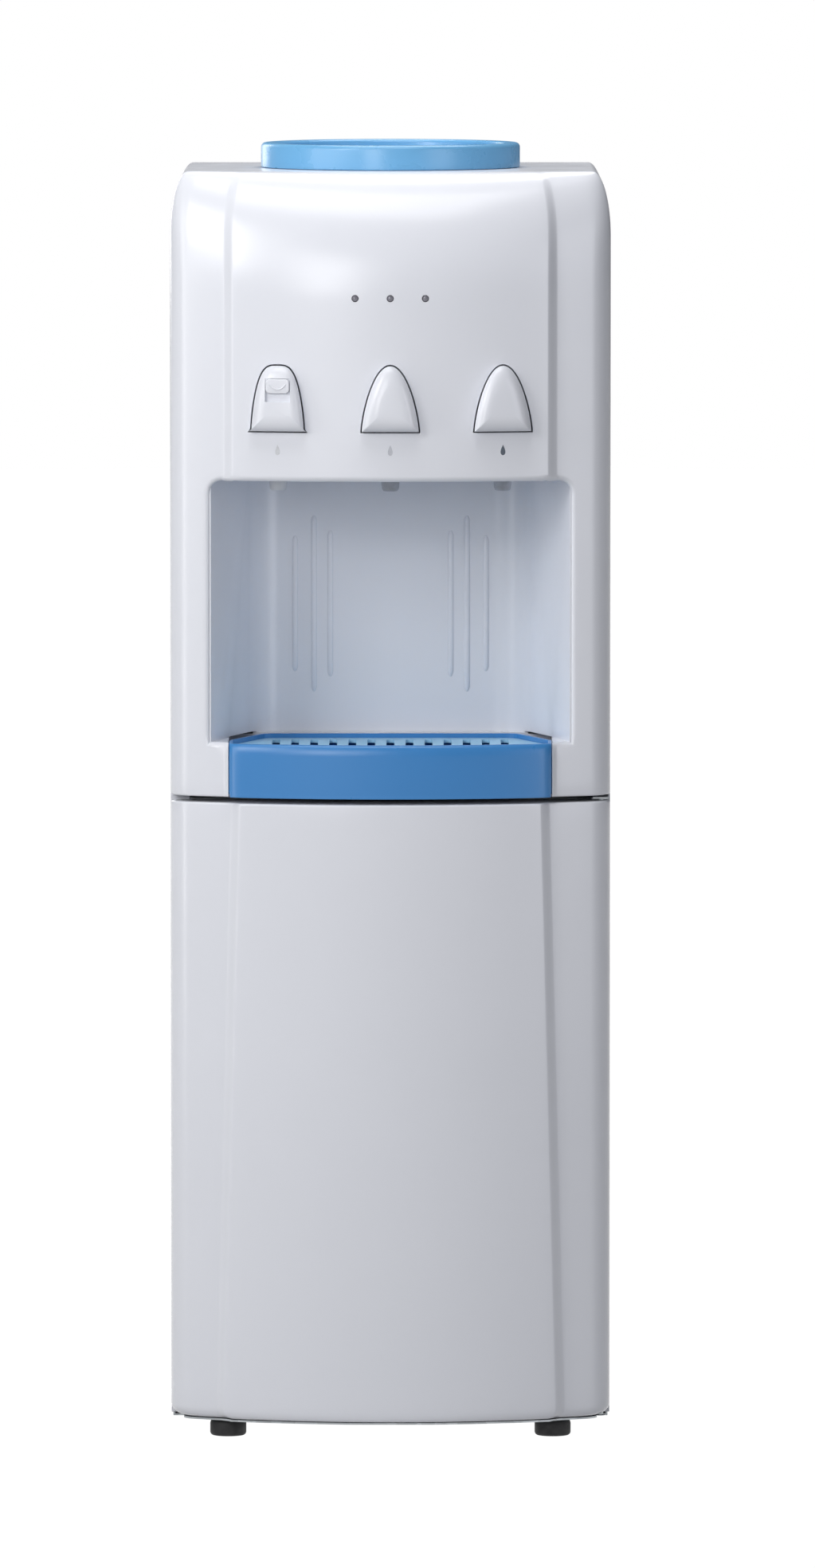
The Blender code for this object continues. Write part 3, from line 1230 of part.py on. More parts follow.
def cold_side():
    """Cold tank with its coil and foam, the shelf that carries it and the two tubes of the coil."""
    wall = COLD_WALL
    profile = [(COLD_RADIUS, COLD_TOP), (COLD_RADIUS, COLD_BOTTOM), (0, COLD_BOTTOM), (0, COLD_BOTTOM + wall),
               (COLD_RADIUS - wall, COLD_BOTTOM + wall), (COLD_RADIUS - wall, COLD_TOP)]
    tank = turned("cold_tank", profile, (0, 0, 0), "stainless", 32, closed=True)
    profile = [(FOAM_RADIUS, COLD_TOP - FOAM_RIM), (FOAM_RADIUS, FOAM_BOTTOM), (0, FOAM_BOTTOM),
               (0, COLD_BOTTOM - GAP),
               (FOAM_INNER, COLD_BOTTOM - GAP), (FOAM_INNER, COLD_TOP - FOAM_RIM)]
    foam = turned("cold_tank_insulation", profile, (0, 0, 0), "foam", 32, closed=True)
    end = FOAM_RADIUS + PORT_REACH
    hole = TUBE_RADIUS + PORT_CLEARANCE
    for angle, z in ((COLD_PORT_ANGLE, COLD_PORT_Z), (AMBIENT_PORT_ANGLE, AMBIENT_PORT_Z)):
        add(tank, rod("port", polar(COLD_RADIUS - wall * 0.8, angle, z), polar(end, angle, z), TUBE_RADIUS,
                      None, sides=10))
        cut(foam, rod("port_hole", polar(COLD_RADIUS, angle, z), polar(end + wall, angle, z), hole, None,
                      sides=10))
    spot = (FEED_X, FEED_Y)
    add(tank, rod("feed_port", (*spot, COLD_BOTTOM + wall * 0.7), (*spot, FEED_END_Z), TUBE_RADIUS, None,
                  sides=10))
    cut(foam, rod("feed_hole", (*spot, COLD_BOTTOM + wall), (*spot, FEED_END_Z), hole, None, sides=10))
    coil(foam)
    shelf = block("tank_shelf", (-SHEET_HALF_WIDTH, -FOAM_RADIUS, TANK_SHELF_TOP - TANK_SHELF),
                  (SHEET_HALF_WIDTH, REAR_Y - DUCT - 2 * SHEET, TANK_SHELF_TOP), "galvanised")
    below = TANK_SHELF_TOP - TANK_SHELF * 3
    cut(shelf, rod("feed_hole", (*spot, COLD_BOTTOM), (*spot, below), hole, None, sides=10))
    notch = TUBE_RADIUS * 3
    cut(shelf, place("hot_tube_notch", block_mesh((HOSE_X - notch, -notch, below),
                                                  (HOSE_X + notch, notch, COLD_BOTTOM)), None))


def coil(foam):
    """Evaporator coil round the cold tank, its two leads through the foam and on to the compressor's side."""
    low = COLD_BOTTOM + COIL_RISE
    high = low + COIL_TURNS * COIL_PITCH
    lead = FOAM_RADIUS + PORT_REACH * 1.25
    near = COIL_RADIUS + COIL_TUBE / 2
    out = COIL_RADIUS + COIL_TUBE * 5 / 3
    points = [polar(lead, 90, low), polar(lead - COIL_RISE / 2, 90, low), polar(out, 92, low),
              polar(near, 96, low)]
    steps = 20
    for i in range(1, COIL_TURNS * steps):
        points.append(polar(COIL_RADIUS, 90 + 360 / steps * i, low + COIL_PITCH * i / steps))
    points += [polar(near, 84, high), polar(out, 88, high), polar(lead - COIL_RISE / 2, 90, high),
               polar(lead, 90, high)]
    tube("evaporator_coil", points, COIL_TUBE, "copper", resolution=1)
    room = COIL_TUBE * 5 / 3
    for side, z in ((-1, low), (1, high)):
        ends = sorted((side * room * 4, -side * room))
        slot = block_mesh((ends[0], COIL_RADIUS - room, z - room), (ends[1], FOAM_RADIUS + room * 2,
                                                                    z + room))
        cut(foam, place("coil_slot", slot, None))
    side = COMPRESSOR_X + COMPRESSOR_RADIUS + STUB_LENGTH + GAP
    drop = SUCTION_STUB_Z + COIL_TUBE * 5
    bend = side + COIL_TUBE * 5.3
    suction = soft_route([(0, lead + GAP, high), (0, DUCT_Y, high), (DUCT, DUCT_Y, high - DUCT),
                          (DUCT, DUCT_Y, PIPE_END_Z), (bend, COMPRESSOR_Y + COMPRESSOR_RADIUS * 0.73, drop),
                          (bend, COMPRESSOR_Y, SUCTION_STUB_Z), (side, COMPRESSOR_Y, SUCTION_STUB_Z)], DUCT)
    tube("suction_tube", suction, COIL_TUBE, "copper")
    upper = DRIER_TOP + GAP
    capillary = soft_route([(0, lead + GAP, low), (0, DUCT_Y, low), (-DUCT, DUCT_Y, low - DUCT),
                            (-DUCT, DUCT_Y, upper + DUCT * 2.6), (DRIER_X, DRIER_Y, upper + DUCT * 1.7),
                            (DRIER_X, DRIER_Y, upper)], DUCT * 0.75)
    tube("capillary_tube", capillary, CAPILLARY_RADIUS, "copper", resolution=0)


def hot_side():
    """Hot tank with its heater and thermostat, and the tubes between the tanks, the taps and the drain."""
    edge = HOT_EDGE
    profile = [(0, HOT_TOP), (HOT_RADIUS - edge, HOT_TOP), (HOT_RADIUS, HOT_TOP - edge),
               (HOT_RADIUS, HOT_BOTTOM + edge),
               (HOT_RADIUS - edge, HOT_BOTTOM), (0, HOT_BOTTOM)]
    tank = turned("hot_tank", profile, (HOT_X, HOT_Y, 0), "stainless", 24)
    lap = COLD_WALL
    for angle in (90, 210, 330):
        x, y, z = polar(HOT_LEG_RING, angle, MID_PANEL_TOP + GAP)
        foot, head = (HOT_X + x, HOT_Y + y, z), (HOT_X + x, HOT_Y + y, HOT_BOTTOM + lap)
        add(tank, rod("leg", foot, head, HOT_LEG_RADIUS, None, sides=8))
    port_z = HOT_BOTTOM + HOT_PORT_RISE
    outlet_z = HOT_TOP + HOT_STUB
    inlet_x = HOT_X + HOT_RADIUS + HOT_STUB
    drain_y = HOT_Y + HOT_RADIUS + HOT_STUB * 0.75
    stubs = (((HOT_X, HOT_Y, HOT_TOP - lap), (HOT_X, HOT_Y, outlet_z)),
             ((HOT_X + HOT_RADIUS - lap, HOT_Y, port_z), (inlet_x, HOT_Y, port_z)),
             ((HOT_X, HOT_Y + HOT_RADIUS - lap, port_z), (HOT_X, drain_y, port_z)))
    for start, end in stubs:
        add(tank, rod("stub", start, end, TUBE_RADIUS, None, sides=10))
    inner = HOT_RADIUS + HEATER_CLEARANCE
    outer = inner + HEATER_THICKNESS
    low = HOT_BOTTOM + HOT_HEIGHT * HEATER_SHARE
    high = low + HEATER_HEIGHT
    turned("heater_band", [(outer, high), (outer, low), (inner, low), (inner, high)], (HOT_X, HOT_Y, 0),
           "galvanised", 24,
           closed=True)
    side = HOT_X - HOT_RADIUS - GAP
    middle = low - THERMOSTAT_RADIUS * 1.8
    rod("hot_thermostat", (side, HOT_Y, middle), (side - THERMOSTAT_DEPTH, HOT_Y, middle), THERMOSTAT_RADIUS,
        "rubber", sides=16)
    tubes(inlet_x, drain_y, port_z, outlet_z)


def tubes(inlet_x, drain_y, port_z, outlet_z):
    """Silicone tubes: hot, feed, cold, ambient and drain."""
    side_y = front_y(TAP_X, COVER_CREASE) + TAP_SET_BACK
    tap_top = TAP_TOP + TAP_INLET + GAP
    knee = (HOSE_X + TAP_HALF_WIDTH * 1.8, FOAM_RADIUS * -1.03, HOSE_Z)
    hot = soft_route([(HOT_X, HOT_Y, outlet_z + GAP), (HOT_X, HOT_Y, outlet_z + HOSE_BEND),
                      (HOSE_X, 0, outlet_z + HOSE_BEND * 1.8),
                      (HOSE_X, 0, HOSE_Z - HOSE_BEND * 1.5), knee, (-TAP_X, side_y, HOSE_Z),
                      (-TAP_X, side_y, tap_top)], HOSE_BEND)
    tube("hot_tube", hot, TUBE_RADIUS, "silicone")
    feed = soft_route([(FEED_X, FEED_Y, FEED_END_Z - GAP), (FEED_X, FEED_Y, port_z + HOSE_BEND * 1.5),
                       (FEED_X, HOT_Y, port_z),
                       (inlet_x + GAP, HOT_Y, port_z)], HOSE_BEND)
    tube("hot_feed_tube", feed, TUBE_RADIUS, "silicone")
    end = FOAM_RADIUS + PORT_REACH + GAP
    rise = COLD_PORT_Z + HOSE_BEND * 1.8
    cold = soft_route([polar(end, COLD_PORT_ANGLE, COLD_PORT_Z), polar(end + TAP_HALF_WIDTH * 1.3,
                                                                       COLD_PORT_ANGLE, COLD_PORT_Z),
                       (TAP_X + TAP_HALF_WIDTH * 1.3, side_y + TUBE_RADIUS, rise), (TAP_X, side_y, rise),
                       (TAP_X, side_y, tap_top)], TAP_HALF_WIDTH)
    tube("cold_tube", cold, TUBE_RADIUS, "silicone")
    tap_y = front_y(0, COVER_CREASE) + TAP_SET_BACK
    ambient = soft_route([polar(end, AMBIENT_PORT_ANGLE, AMBIENT_PORT_Z), (0, tap_y, AMBIENT_PORT_Z),
                          (0, tap_y, tap_top)],
                         HOSE_BEND * 0.7)
    tube("ambient_tube", ambient, TUBE_RADIUS, "silicone")
    drain = soft_route([(HOT_X, drain_y + GAP, port_z), (HOT_X, DUCT_Y, port_z), (HOT_X, DUCT_Y, DRAIN_Z),
                        (HOT_X, DRAIN_END, DRAIN_Z)], HOSE_BEND / 3)
    tube("drain_pipe", drain, TUBE_RADIUS, "silicone")


def compressor():
    """Welded pot on its plate and rubber mounts, its discharge tube and the filter drier."""
    x, y, r = COMPRESSOR_X, COMPRESSOR_Y, COMPRESSOR_RADIUS
    low, top = COMPRESSOR_BASE, COMPRESSOR_TOP
    bead = SEAM_BEAD
    seam = top - COMPRESSOR_HEIGHT * 0.49
    profile = [(0, top), (r * 0.45, top - bead * 1.5), (r * 0.8, top - bead * 7), (r, top - bead * 18),
               (r, seam + 2 * bead),
               (r + bead, seam + bead), (r + bead, seam - bead), (r, seam - 2 * bead), (r, low + bead * 15),
               (r * 0.8, low + bead * 4), (r * 0.4, low), (r * 0.4, low - bead), (0, low - bead)]
    pot = turned("compressor", profile, (x, y, 0), "black_steel", 20)
    half, depth, corner = PLATE_HALF_WIDTH, PLATE_HALF_DEPTH, MOUNT_INSET - SHEET
    corners = ((-half, -depth), (half, -depth), (half, depth), (-half, depth))
    plate = rounded_outline([(x + u, y + v, corner) for u, v in corners], 3)
    add(pot, prism("mount_plate", plate, COMPRESSOR_PLATE_Z, low, None))
    for u, v in corners:
        spot = (x + u - math.copysign(MOUNT_INSET, u), y + v - math.copysign(MOUNT_INSET, v))
        add(pot, rod("mount", (*spot, PAN_TOP + GAP), (*spot, low + bead * 2), MOUNT_RADIUS, None, sides=12))
    end = x + r + STUB_LENGTH
    add(pot, rod("suction_stub", (end - STUB_LENGTH * 1.3, y, SUCTION_STUB_Z), (end, y, SUCTION_STUB_Z),
                 SUCTION_STUB_RADIUS, None, sides=12))
    stub_x, stub_z = x + DISCHARGE_STUB_X, DISCHARGE_STUB_Z
    end = y + r + STUB_LENGTH * 0.8
    add(pot, rod("discharge_stub", (stub_x, end - STUB_LENGTH * 2, stub_z), (stub_x, end, stub_z),
                 DISCHARGE_STUB_RADIUS, None, sides=12))
    leg = CONDENSER_HALF_WIDTH + CONDENSER_TURN
    route = soft_route([(stub_x, end + GAP, stub_z), (stub_x, REAR_Y + CONDENSER_TURN, stub_z),
                        (leg, CONDENSER_Y, SUCTION_STUB_Z), (leg, CONDENSER_Y, PIPE_END_Z - GAP)],
                       CONDENSER_BEND * 1.3)
    tube("discharge_tube", route, CONDENSER_TUBE, "copper")
    radius, neck = DRIER_RADIUS, DRIER_NECK
    bottom, top = DRIER_BOTTOM, DRIER_TOP
    turned("filter_drier", [(0, top), (neck, top), (neck, top - radius), (radius, top - radius * 2),
                            (radius, bottom + radius * 2),
                            (neck, bottom + radius), (neck, bottom), (0, bottom)], (DRIER_X, DRIER_Y, 0),
           "copper", 12)


def condenser():
    """Serpentine tube with a row of wires over it, hung on four lugs behind the back panel."""
    half, leg = CONDENSER_HALF_WIDTH, CONDENSER_LEG_X
    y = CONDENSER_Y
    turn = half + CONDENSER_TURN
    corners = [(turn, y, PIPE_END_Z), (turn, y, CONDENSER_BOTTOM)]
    side = -1
    for i in range(CONDENSER_PASSES):
        z = CONDENSER_BOTTOM + CONDENSER_PITCH * i
        last = i == CONDENSER_PASSES - 1
        corners.append((side * (leg if last else turn), y, z))
        if not last:
            corners.append((side * turn, y, z + CONDENSER_PITCH))
        side = -side
    low = DRIER_BOTTOM - GAP
    corners += [(-leg, y, CROSSOVER_Z), (DRIER_X, REAR_Y + CONDENSER_TURN / 2, CROSSOVER_Z),
                (DRIER_X, DRIER_Y, (CROSSOVER_Z * 3 + low) / 4), (DRIER_X, DRIER_Y, low)]
    body = tube("condenser", soft_route(corners, CONDENSER_BEND, 3), CONDENSER_TUBE, "black_steel",
                resolution=1)
    wires = []
    for i in range(CONDENSER_WIRES):
        x = half * 0.94 * (2 * i / (CONDENSER_WIRES - 1) - 1)
        wires.append(block_mesh((x - CONDENSER_WIRE, y + CONDENSER_TUBE * 0.7,
                                 CONDENSER_BOTTOM - WIRE_OVERHANG),
                                (x + CONDENSER_WIRE, REAR, CONDENSER_TOP + WIRE_OVERHANG)))
    add(body, place("wires", group_mesh(wires), None))
    for z in (CONDENSER_BOTTOM, CONDENSER_TOP):
        for x in (-half * 0.8, half * 0.8):
            lug = block_mesh((x - LUG_HALF_WIDTH, PLATE_FACE, z - LUG_HALF_HEIGHT),
                             (x + LUG_HALF_WIDTH, y, z + LUG_HALF_HEIGHT))
            add(body, place("lug", lug, None))


def rear_fittings():
    """Switch bank with two rockers, cord gland and drain cap, all in the back panel."""
    face = PLATE_FACE
    x, z, wide, tall = SWITCH_X, SWITCH_Z, BANK_HALF_WIDTH, BANK_HALF_HEIGHT
    axis_y = face + BEZEL_THICKNESS / 3
    bank = block("switch_bank", (x - wide, PLATE_Y - BANK_DEPTH, z - tall), (x + wide, axis_y, z + tall),
                 "rubber")
    bezel = block_mesh((x - wide - BEZEL, face, z - tall - BEZEL), (x + wide + BEZEL, face + BEZEL_THICKNESS,
                                                                    z + tall + BEZEL))
    add(bank, place("bezel", bezel, None))
    tilt = math.radians(-ROCKER_TILT)
    outline = []
    for v, w in ROCKER_PROFILE:
        outline.append((v * math.cos(tilt) - w * math.sin(tilt) + axis_y,
                        v * math.sin(tilt) + w * math.cos(tilt) + z))
    room = ROCKER_HALF_WIDTH + SHEET / 2
    for name, sign, finish in (("hot_switch", -1, "red_plastic"), ("cold_switch", 1, "green_plastic")):
        middle = x + sign * ROCKER_SPACING
        pocket = block_mesh((middle - room, axis_y - ROCKER_POCKET, z - ROCKER_ROOM),
                            (middle + room, face + BANK_DEPTH, z + ROCKER_ROOM))
        cut(bank, place("switch_pocket", pocket, None))
        prism(name, outline, middle - ROCKER_HALF_WIDTH, middle + ROCKER_HALF_WIDTH, finish, "X",
              origin=(middle, axis_y, z))
    x, z, length = GLAND_X, GLAND_Z, GLAND_LENGTH
    gland = rod("cord_gland", (x, face, z), (x, face + length / 4, z), GLAND_RADIUS, "rubber", sides=16)
    add(gland, rod("gland_body", (x, face - length * 0.75, z), (x, face + length, z), GLAND_BODY, None,
                   sides=16,
                   end_radius=GLAND_BODY * 0.81))
    cut(gland, rod("gland_bore", (x, face - length, z), (x, face + length * 2, z), GLAND_BORE, None,
                   sides=10))
    x, z = HOT_X, DRAIN_Z
    cap = rod("drain_cap", (x, face + CAP_WALL, z), (x, DRAIN_END + CAP_WALL, z), CAP_RADIUS, "rubber",
              sides=16)
    cut(cap, rod("cap_bore", (x, face, z), (x, DRAIN_END + GAP, z), TUBE_RADIUS + CAP_CLEARANCE, None))


def build():
    upper_front_cover()
    recess_liner()
    recess_ceiling()
    top_cover()
    side_panels()
    base_pan()
    feet()
    mid_panel()
    back_panel()
    cabinet_liner()
    cabinet_shelf()
    door_catch()
    hinge_parts()
    door(empty("door_hinge", (HINGE_X, HINGE_Y, DOOR_BOTTOM)))
    drip_tray(empty("tray_slide", (0, -FRONT, COVER_BOTTOM)))
    drip_grille(empty("grille_lift", (0, (TRAY_BACK_Y - FRONT) / 2, TRAY_TOP)))
    tap_buttons()
    lights()
    bottle_seat(empty("collar_lift", (0, 0, DECK_Z)))
    cold_side()
    hot_side()
    compressor()
    condenser()
    rear_fittings()


clear_scene()
PARTS = collection("water_dispenser")
CUTTERS = collection("cutters")
MATERIALS = {name: material(name, *look) for name, look in FINISHES.items()}
build()
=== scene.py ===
"""Water dispenser: fine meshes, finishes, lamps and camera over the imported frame.

Metres, +Z up, front towards -Y, origin on the floor at the middle of the footprint.
"""
import math

import bmesh
import bpy
from bpy.props import FloatProperty, PointerProperty, StringProperty
from mathutils import Matrix, Vector


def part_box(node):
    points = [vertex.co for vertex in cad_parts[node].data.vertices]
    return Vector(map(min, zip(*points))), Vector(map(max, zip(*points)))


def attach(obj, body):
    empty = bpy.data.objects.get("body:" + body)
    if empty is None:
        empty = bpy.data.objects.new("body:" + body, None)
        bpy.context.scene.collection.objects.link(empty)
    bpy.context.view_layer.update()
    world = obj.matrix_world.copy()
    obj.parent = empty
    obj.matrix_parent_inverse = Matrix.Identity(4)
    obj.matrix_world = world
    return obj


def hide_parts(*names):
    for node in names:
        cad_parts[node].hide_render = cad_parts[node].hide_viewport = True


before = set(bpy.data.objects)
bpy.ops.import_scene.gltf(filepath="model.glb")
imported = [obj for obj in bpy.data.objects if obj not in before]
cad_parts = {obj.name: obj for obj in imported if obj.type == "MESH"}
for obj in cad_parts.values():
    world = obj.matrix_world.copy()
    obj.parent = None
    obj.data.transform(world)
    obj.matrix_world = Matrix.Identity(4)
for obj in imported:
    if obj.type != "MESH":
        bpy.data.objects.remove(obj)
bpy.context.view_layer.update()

bl_info = {
    "name": "Water dispenser",
    "version": (1, 0, 0),
    "blender": (4, 5, 0),
    "location": "3D View > Sidebar > Dispenser",
    "description": "Fine meshes, finishes and studio for a floor-standing water dispenser",
    "category": "Object",
}

MM = 0.001

# Housing
HALF_WIDTH = 166.9 * MM
FRONT = 172 * MM
DECK = 961 * MM
SEAM_Y = -105 * MM
REAR_Y = 135 * MM
PANEL_RADIUS = 379 * MM
STEP_WIDTH = 8 * MM
STEP_DEPTH = 6 * MM
CORNER_RADIUS = 25 * MM
SHOULDER_WIDTH = 14 * MM
SHOULDER_HEIGHT = 49 * MM
FOREHEAD = 865 * MM
FOREHEAD_REST = 0.15
COVER_CREASE = 118.5 * MM
COVER_BOTTOM = 488.7 * MM
TOP_COVER_BOTTOM = 900 * MM
WALL = 2.5 * MM
GAP = 0.3 * MM

# Door
DOOR_TOP = 484.4 * MM
DOOR_BOTTOM = 15.5 * MM
DOOR_REAR_Y = -110 * MM
DOOR_CREASE_TOP = 113 * MM
DOOR_CREASE_BOTTOM = 125 * MM
DOOR_CORNER = 8 * MM
HINGE_X = 159.5 * MM
HINGE_Y = -116.5 * MM
PIN_LENGTH = 14 * MM

# Recess and tray
RECESS_HALF_WIDTH = 136.5 * MM
RECESS_BACK_HALF_WIDTH = 101 * MM
RECESS_TOP = 728 * MM
RECESS_BOTTOM = 530 * MM
RECESS_BACK_Y = -25 * MM
RECESS_FILLET = 32 * MM
CEILING = 731 * MM
LINER_SKIN = 2 * MM
TRAY_HALF_WIDTH = 122 * MM
TRAY_BACK_HALF_WIDTH = 98 * MM
TRAY_BACK_Y = -40 * MM
TRAY_KNEE_Y = -112 * MM
TRAY_TOP = 529.5 * MM
TRAY_WALL = 2.5 * MM
TRAY_SIDE_DROP = 4 * MM
TRAY_TOP_DROP = 3.6 * MM
GRILLE_LEDGE = 523.5 * MM
GRILLE = 2.5 * MM
GRILLE_PITCH = 14.5 * MM
FLUTES = ((46 * MM, 113 * MM), (58.5 * MM, 136 * MM), (73 * MM, 105 * MM))
FLUTE_MIDDLE = 628 * MM

# Buttons, taps and lights
TAP_X = 85 * MM
BUTTON_BOTTOM = 766.6 * MM
BUTTON_HEIGHT = 49.5 * MM
BUTTON_WIDTH = 43 * MM
BUTTON_PROUD = 11 * MM
BUTTON_DEPTH = 17 * MM
BUTTON_SKIRT = 1.5 * MM
BUTTON_HEART = 0.42
BUTTON_CROWN = 78
BUTTON_FULLNESS = 0.55
BUTTON_THINNING = 0.28
PLUNGER_Z = 782 * MM
LOCK_Z = 801 * MM
LOCK_HALF_WIDTH = 9 * MM
LOCK_HALF_HEIGHT = 5.5 * MM
LOCK_THICKNESS = 3.2 * MM
LOCK_POCKET = 3.5 * MM
LOCK_TRAVEL = 6 * MM
LOCK_CLEARANCE = 0.4 * MM
TAP_SET_BACK = 47 * MM
TAP_TOP = 795 * MM
NOZZLE_TIP = 719.5 * MM
NOZZLE_RADIUS = 7 * MM
LIGHTS = (-26.5 * MM, 0.0, 26.5 * MM)
LIGHT_Z = 867 * MM
LIGHT_RADIUS = 2.3 * MM
TAPS = {"hot": (-TAP_X, True), "ambient": (0.0, False), "cold": (TAP_X, False)}

# Bottle seat
COLLAR_RADIUS = 99 * MM
COLLAR_TOP = 980 * MM
WELL_RADIUS = 90 * MM
FUNNEL_BOTTOM = 912 * MM
PROBE_RADIUS = 11 * MM
PROBE_TOP = 952 * MM

# Compressor, filter drier and condenser grid
COMPRESSOR_X = 10 * MM
COMPRESSOR_Y = 58 * MM
COMPRESSOR_RADIUS = 52 * MM
COMPRESSOR_BASE = 27 * MM
COMPRESSOR_TOP = 158 * MM
COMPRESSOR_SEAM = 91 * MM
BASE_HALF_WIDTH = 75 * MM
BASE_HALF_DEPTH = 50 * MM
BASE_PLATE = 3 * MM
MOUNT_X = 62 * MM
MOUNT_Y = 37 * MM
SUCTION_Z = 120 * MM
DISCHARGE_X = 20 * MM
DISCHARGE_Z = 105 * MM
DRIER_RADIUS = 8 * MM
DRIER_BOTTOM = 75 * MM
DRIER_TOP = 163 * MM
GRID_HALF_WIDTH = 112 * MM
GRID_LEG_X = 136 * MM
GRID_BOTTOM = 315 * MM
GRID_PITCH = 85 * MM
GRID_PASSES = 7
GRID_WIRES = 27
CONDENSER_TUBE = 2.4 * MM
CONDENSER_WIRE = 0.8 * MM

# Working values: the corners of a rectangle in order, how far a cutter runs past what it cuts,
# and the angle above which an edge counts as sharp
CORNERS = ((-1, -1), (1, -1), (1, 1), (-1, 1))
PAST = 10 * MM
SHARP_EDGE = math.radians(40)
ARCH_STEPS = 48

FEET = ("foot_front_left", "foot_front_right", "foot_rear_left", "foot_rear_right")


# Colours and nodes

def linear(code):
    """Turn an sRGB hex value into linear light."""
    shares = [int(code[i:i + 2], 16) / 255 for i in (1, 3, 5)]
    light = [c / 12.92 if c <= 0.04045 else ((c + 0.055) / 1.055) ** 2.4 for c in shares]
    return (*light, 1.0)


def shaded(code, factor):
    """The same hex value, lighter or darker by a factor."""
    shares = [min(255, round(int(code[i:i + 2], 16) * factor)) for i in (1, 3, 5)]
    return "#{:02X}{:02X}{:02X}".format(*shares)


def node(tree, kind, settings=(), inputs=()):
    """Add a node, set its properties, and set or link its sockets."""
    made = tree.nodes.new(kind)
    made.location.x = 190 * len(tree.nodes)
    for key, value in dict(settings).items():
        setattr(made, key, value)
    for key, value in dict(inputs).items():
        if isinstance(value, bpy.types.NodeSocket):
            tree.links.new(value, made.inputs[key])
        else:
            made.inputs[key].default_value = value
    return made


def blank(name):
    """A material with an empty tree, and the object's own coordinates in metres."""
    made = bpy.data.materials.new(name)
    made.use_nodes = True
    tree = made.node_tree
    tree.nodes.clear()
    return made, tree, node(tree, "ShaderNodeTexCoord").outputs["Object"]


# Materials. Mix nodes take their colours at sockets 6 and 7, and give the blend at output 2.

def moulded_gloss_abs(name, code, roughness):
    """Injection-moulded ABS from a polished tool: a clear highlight over a faint orange peel,
    and a breath of uneven gloss where the melt flowed."""
    made, tree, place = blank(name)
    flow = node(tree, "ShaderNodeTexNoise", {}, {"Vector": place, "Scale": 1 / (160 * MM), "Detail": 2.0})
    colour = node(tree, "ShaderNodeMix", {"data_type": "RGBA"},
                  {0: flow.outputs["Fac"], 6: linear(shaded(code, 0.99)), 7: linear(shaded(code, 1.01))})
    bloom = node(tree, "ShaderNodeTexNoise", {}, {"Vector": place, "Scale": 1 / (25 * MM), "Detail": 4.0})
    gloss = node(tree, "ShaderNodeMapRange", {}, {"Value": bloom.outputs["Fac"], "From Min": 0.3, "From Max": 0.7,
                                                  "To Min": roughness * 0.9, "To Max": roughness * 1.12})
    peel = node(tree, "ShaderNodeTexNoise", {}, {"Vector": place, "Scale": 1 / (2.6 * MM), "Detail": 1.0})
    bump = node(tree, "ShaderNodeBump", {}, {"Height": peel.outputs["Fac"], "Distance": 0.008 * MM})
    shader = node(tree, "ShaderNodeBsdfPrincipled", {},
                  {"Base Color": colour.outputs[2], "Roughness": gloss.outputs["Result"],
                   "Normal": bump.outputs["Normal"], "IOR": 1.54})
    node(tree, "ShaderNodeOutputMaterial", {}, {"Surface": shader.outputs["BSDF"]})
    return made


def moulded_grained_abs(name, code):
    """ABS from a spark-eroded tool: a soft sheen broken by fine grain.
    The real grain is 0.1 mm, too fine to show, so it is drawn at 0.7 mm."""
    made, tree, place = blank(name)
    flow = node(tree, "ShaderNodeTexNoise", {}, {"Vector": place, "Scale": 1 / (60 * MM), "Detail": 3.0})
    colour = node(tree, "ShaderNodeMix", {"data_type": "RGBA"},
                  {0: flow.outputs["Fac"], 6: linear(shaded(code, 0.97)), 7: linear(shaded(code, 1.02))})
    grain = node(tree, "ShaderNodeTexNoise", {}, {"Vector": place, "Scale": 1 / (0.7 * MM), "Detail": 2.0})
    gloss = node(tree, "ShaderNodeMapRange", {}, {"Value": grain.outputs["Fac"], "From Min": 0.3, "From Max": 0.7,
                                                  "To Min": 0.38, "To Max": 0.48})
    bump = node(tree, "ShaderNodeBump", {}, {"Height": grain.outputs["Fac"], "Distance": 0.03 * MM})
    shader = node(tree, "ShaderNodeBsdfPrincipled", {},
                  {"Base Color": colour.outputs[2], "Roughness": gloss.outputs["Result"],
                   "Normal": bump.outputs["Normal"], "IOR": 1.54})
    node(tree, "ShaderNodeOutputMaterial", {}, {"Surface": shader.outputs["BSDF"]})
    return made


def vacuum_formed_hips(code):
    """High-impact polystyrene drawn over a tool: soft waves of gloss, and patches of a slightly greyer tone."""
    made, tree, place = blank("vacuum_formed_hips")
    drawn = node(tree, "ShaderNodeTexNoise", {}, {"Vector": place, "Scale": 1 / (70 * MM), "Detail": 2.0})
    colour = node(tree, "ShaderNodeMix", {"data_type": "RGBA"},
                  {0: drawn.outputs["Fac"], 6: linear(shaded(code, 0.97)), 7: linear(shaded(code, 1.01))})
    gloss = node(tree, "ShaderNodeMapRange", {}, {"Value": drawn.outputs["Fac"], "From Min": 0.3, "From Max": 0.7,
                                                  "To Min": 0.3, "To Max": 0.46})
    wave = node(tree, "ShaderNodeTexNoise", {}, {"Vector": place, "Scale": 1 / (9 * MM), "Detail": 1.0})
    bump = node(tree, "ShaderNodeBump", {}, {"Height": wave.outputs["Fac"], "Distance": 0.06 * MM})
    shader = node(tree, "ShaderNodeBsdfPrincipled", {},
                  {"Base Color": colour.outputs[2], "Roughness": gloss.outputs["Result"],
                   "Normal": bump.outputs["Normal"], "IOR": 1.59})
    node(tree, "ShaderNodeOutputMaterial", {}, {"Surface": shader.outputs["BSDF"]})
    return made


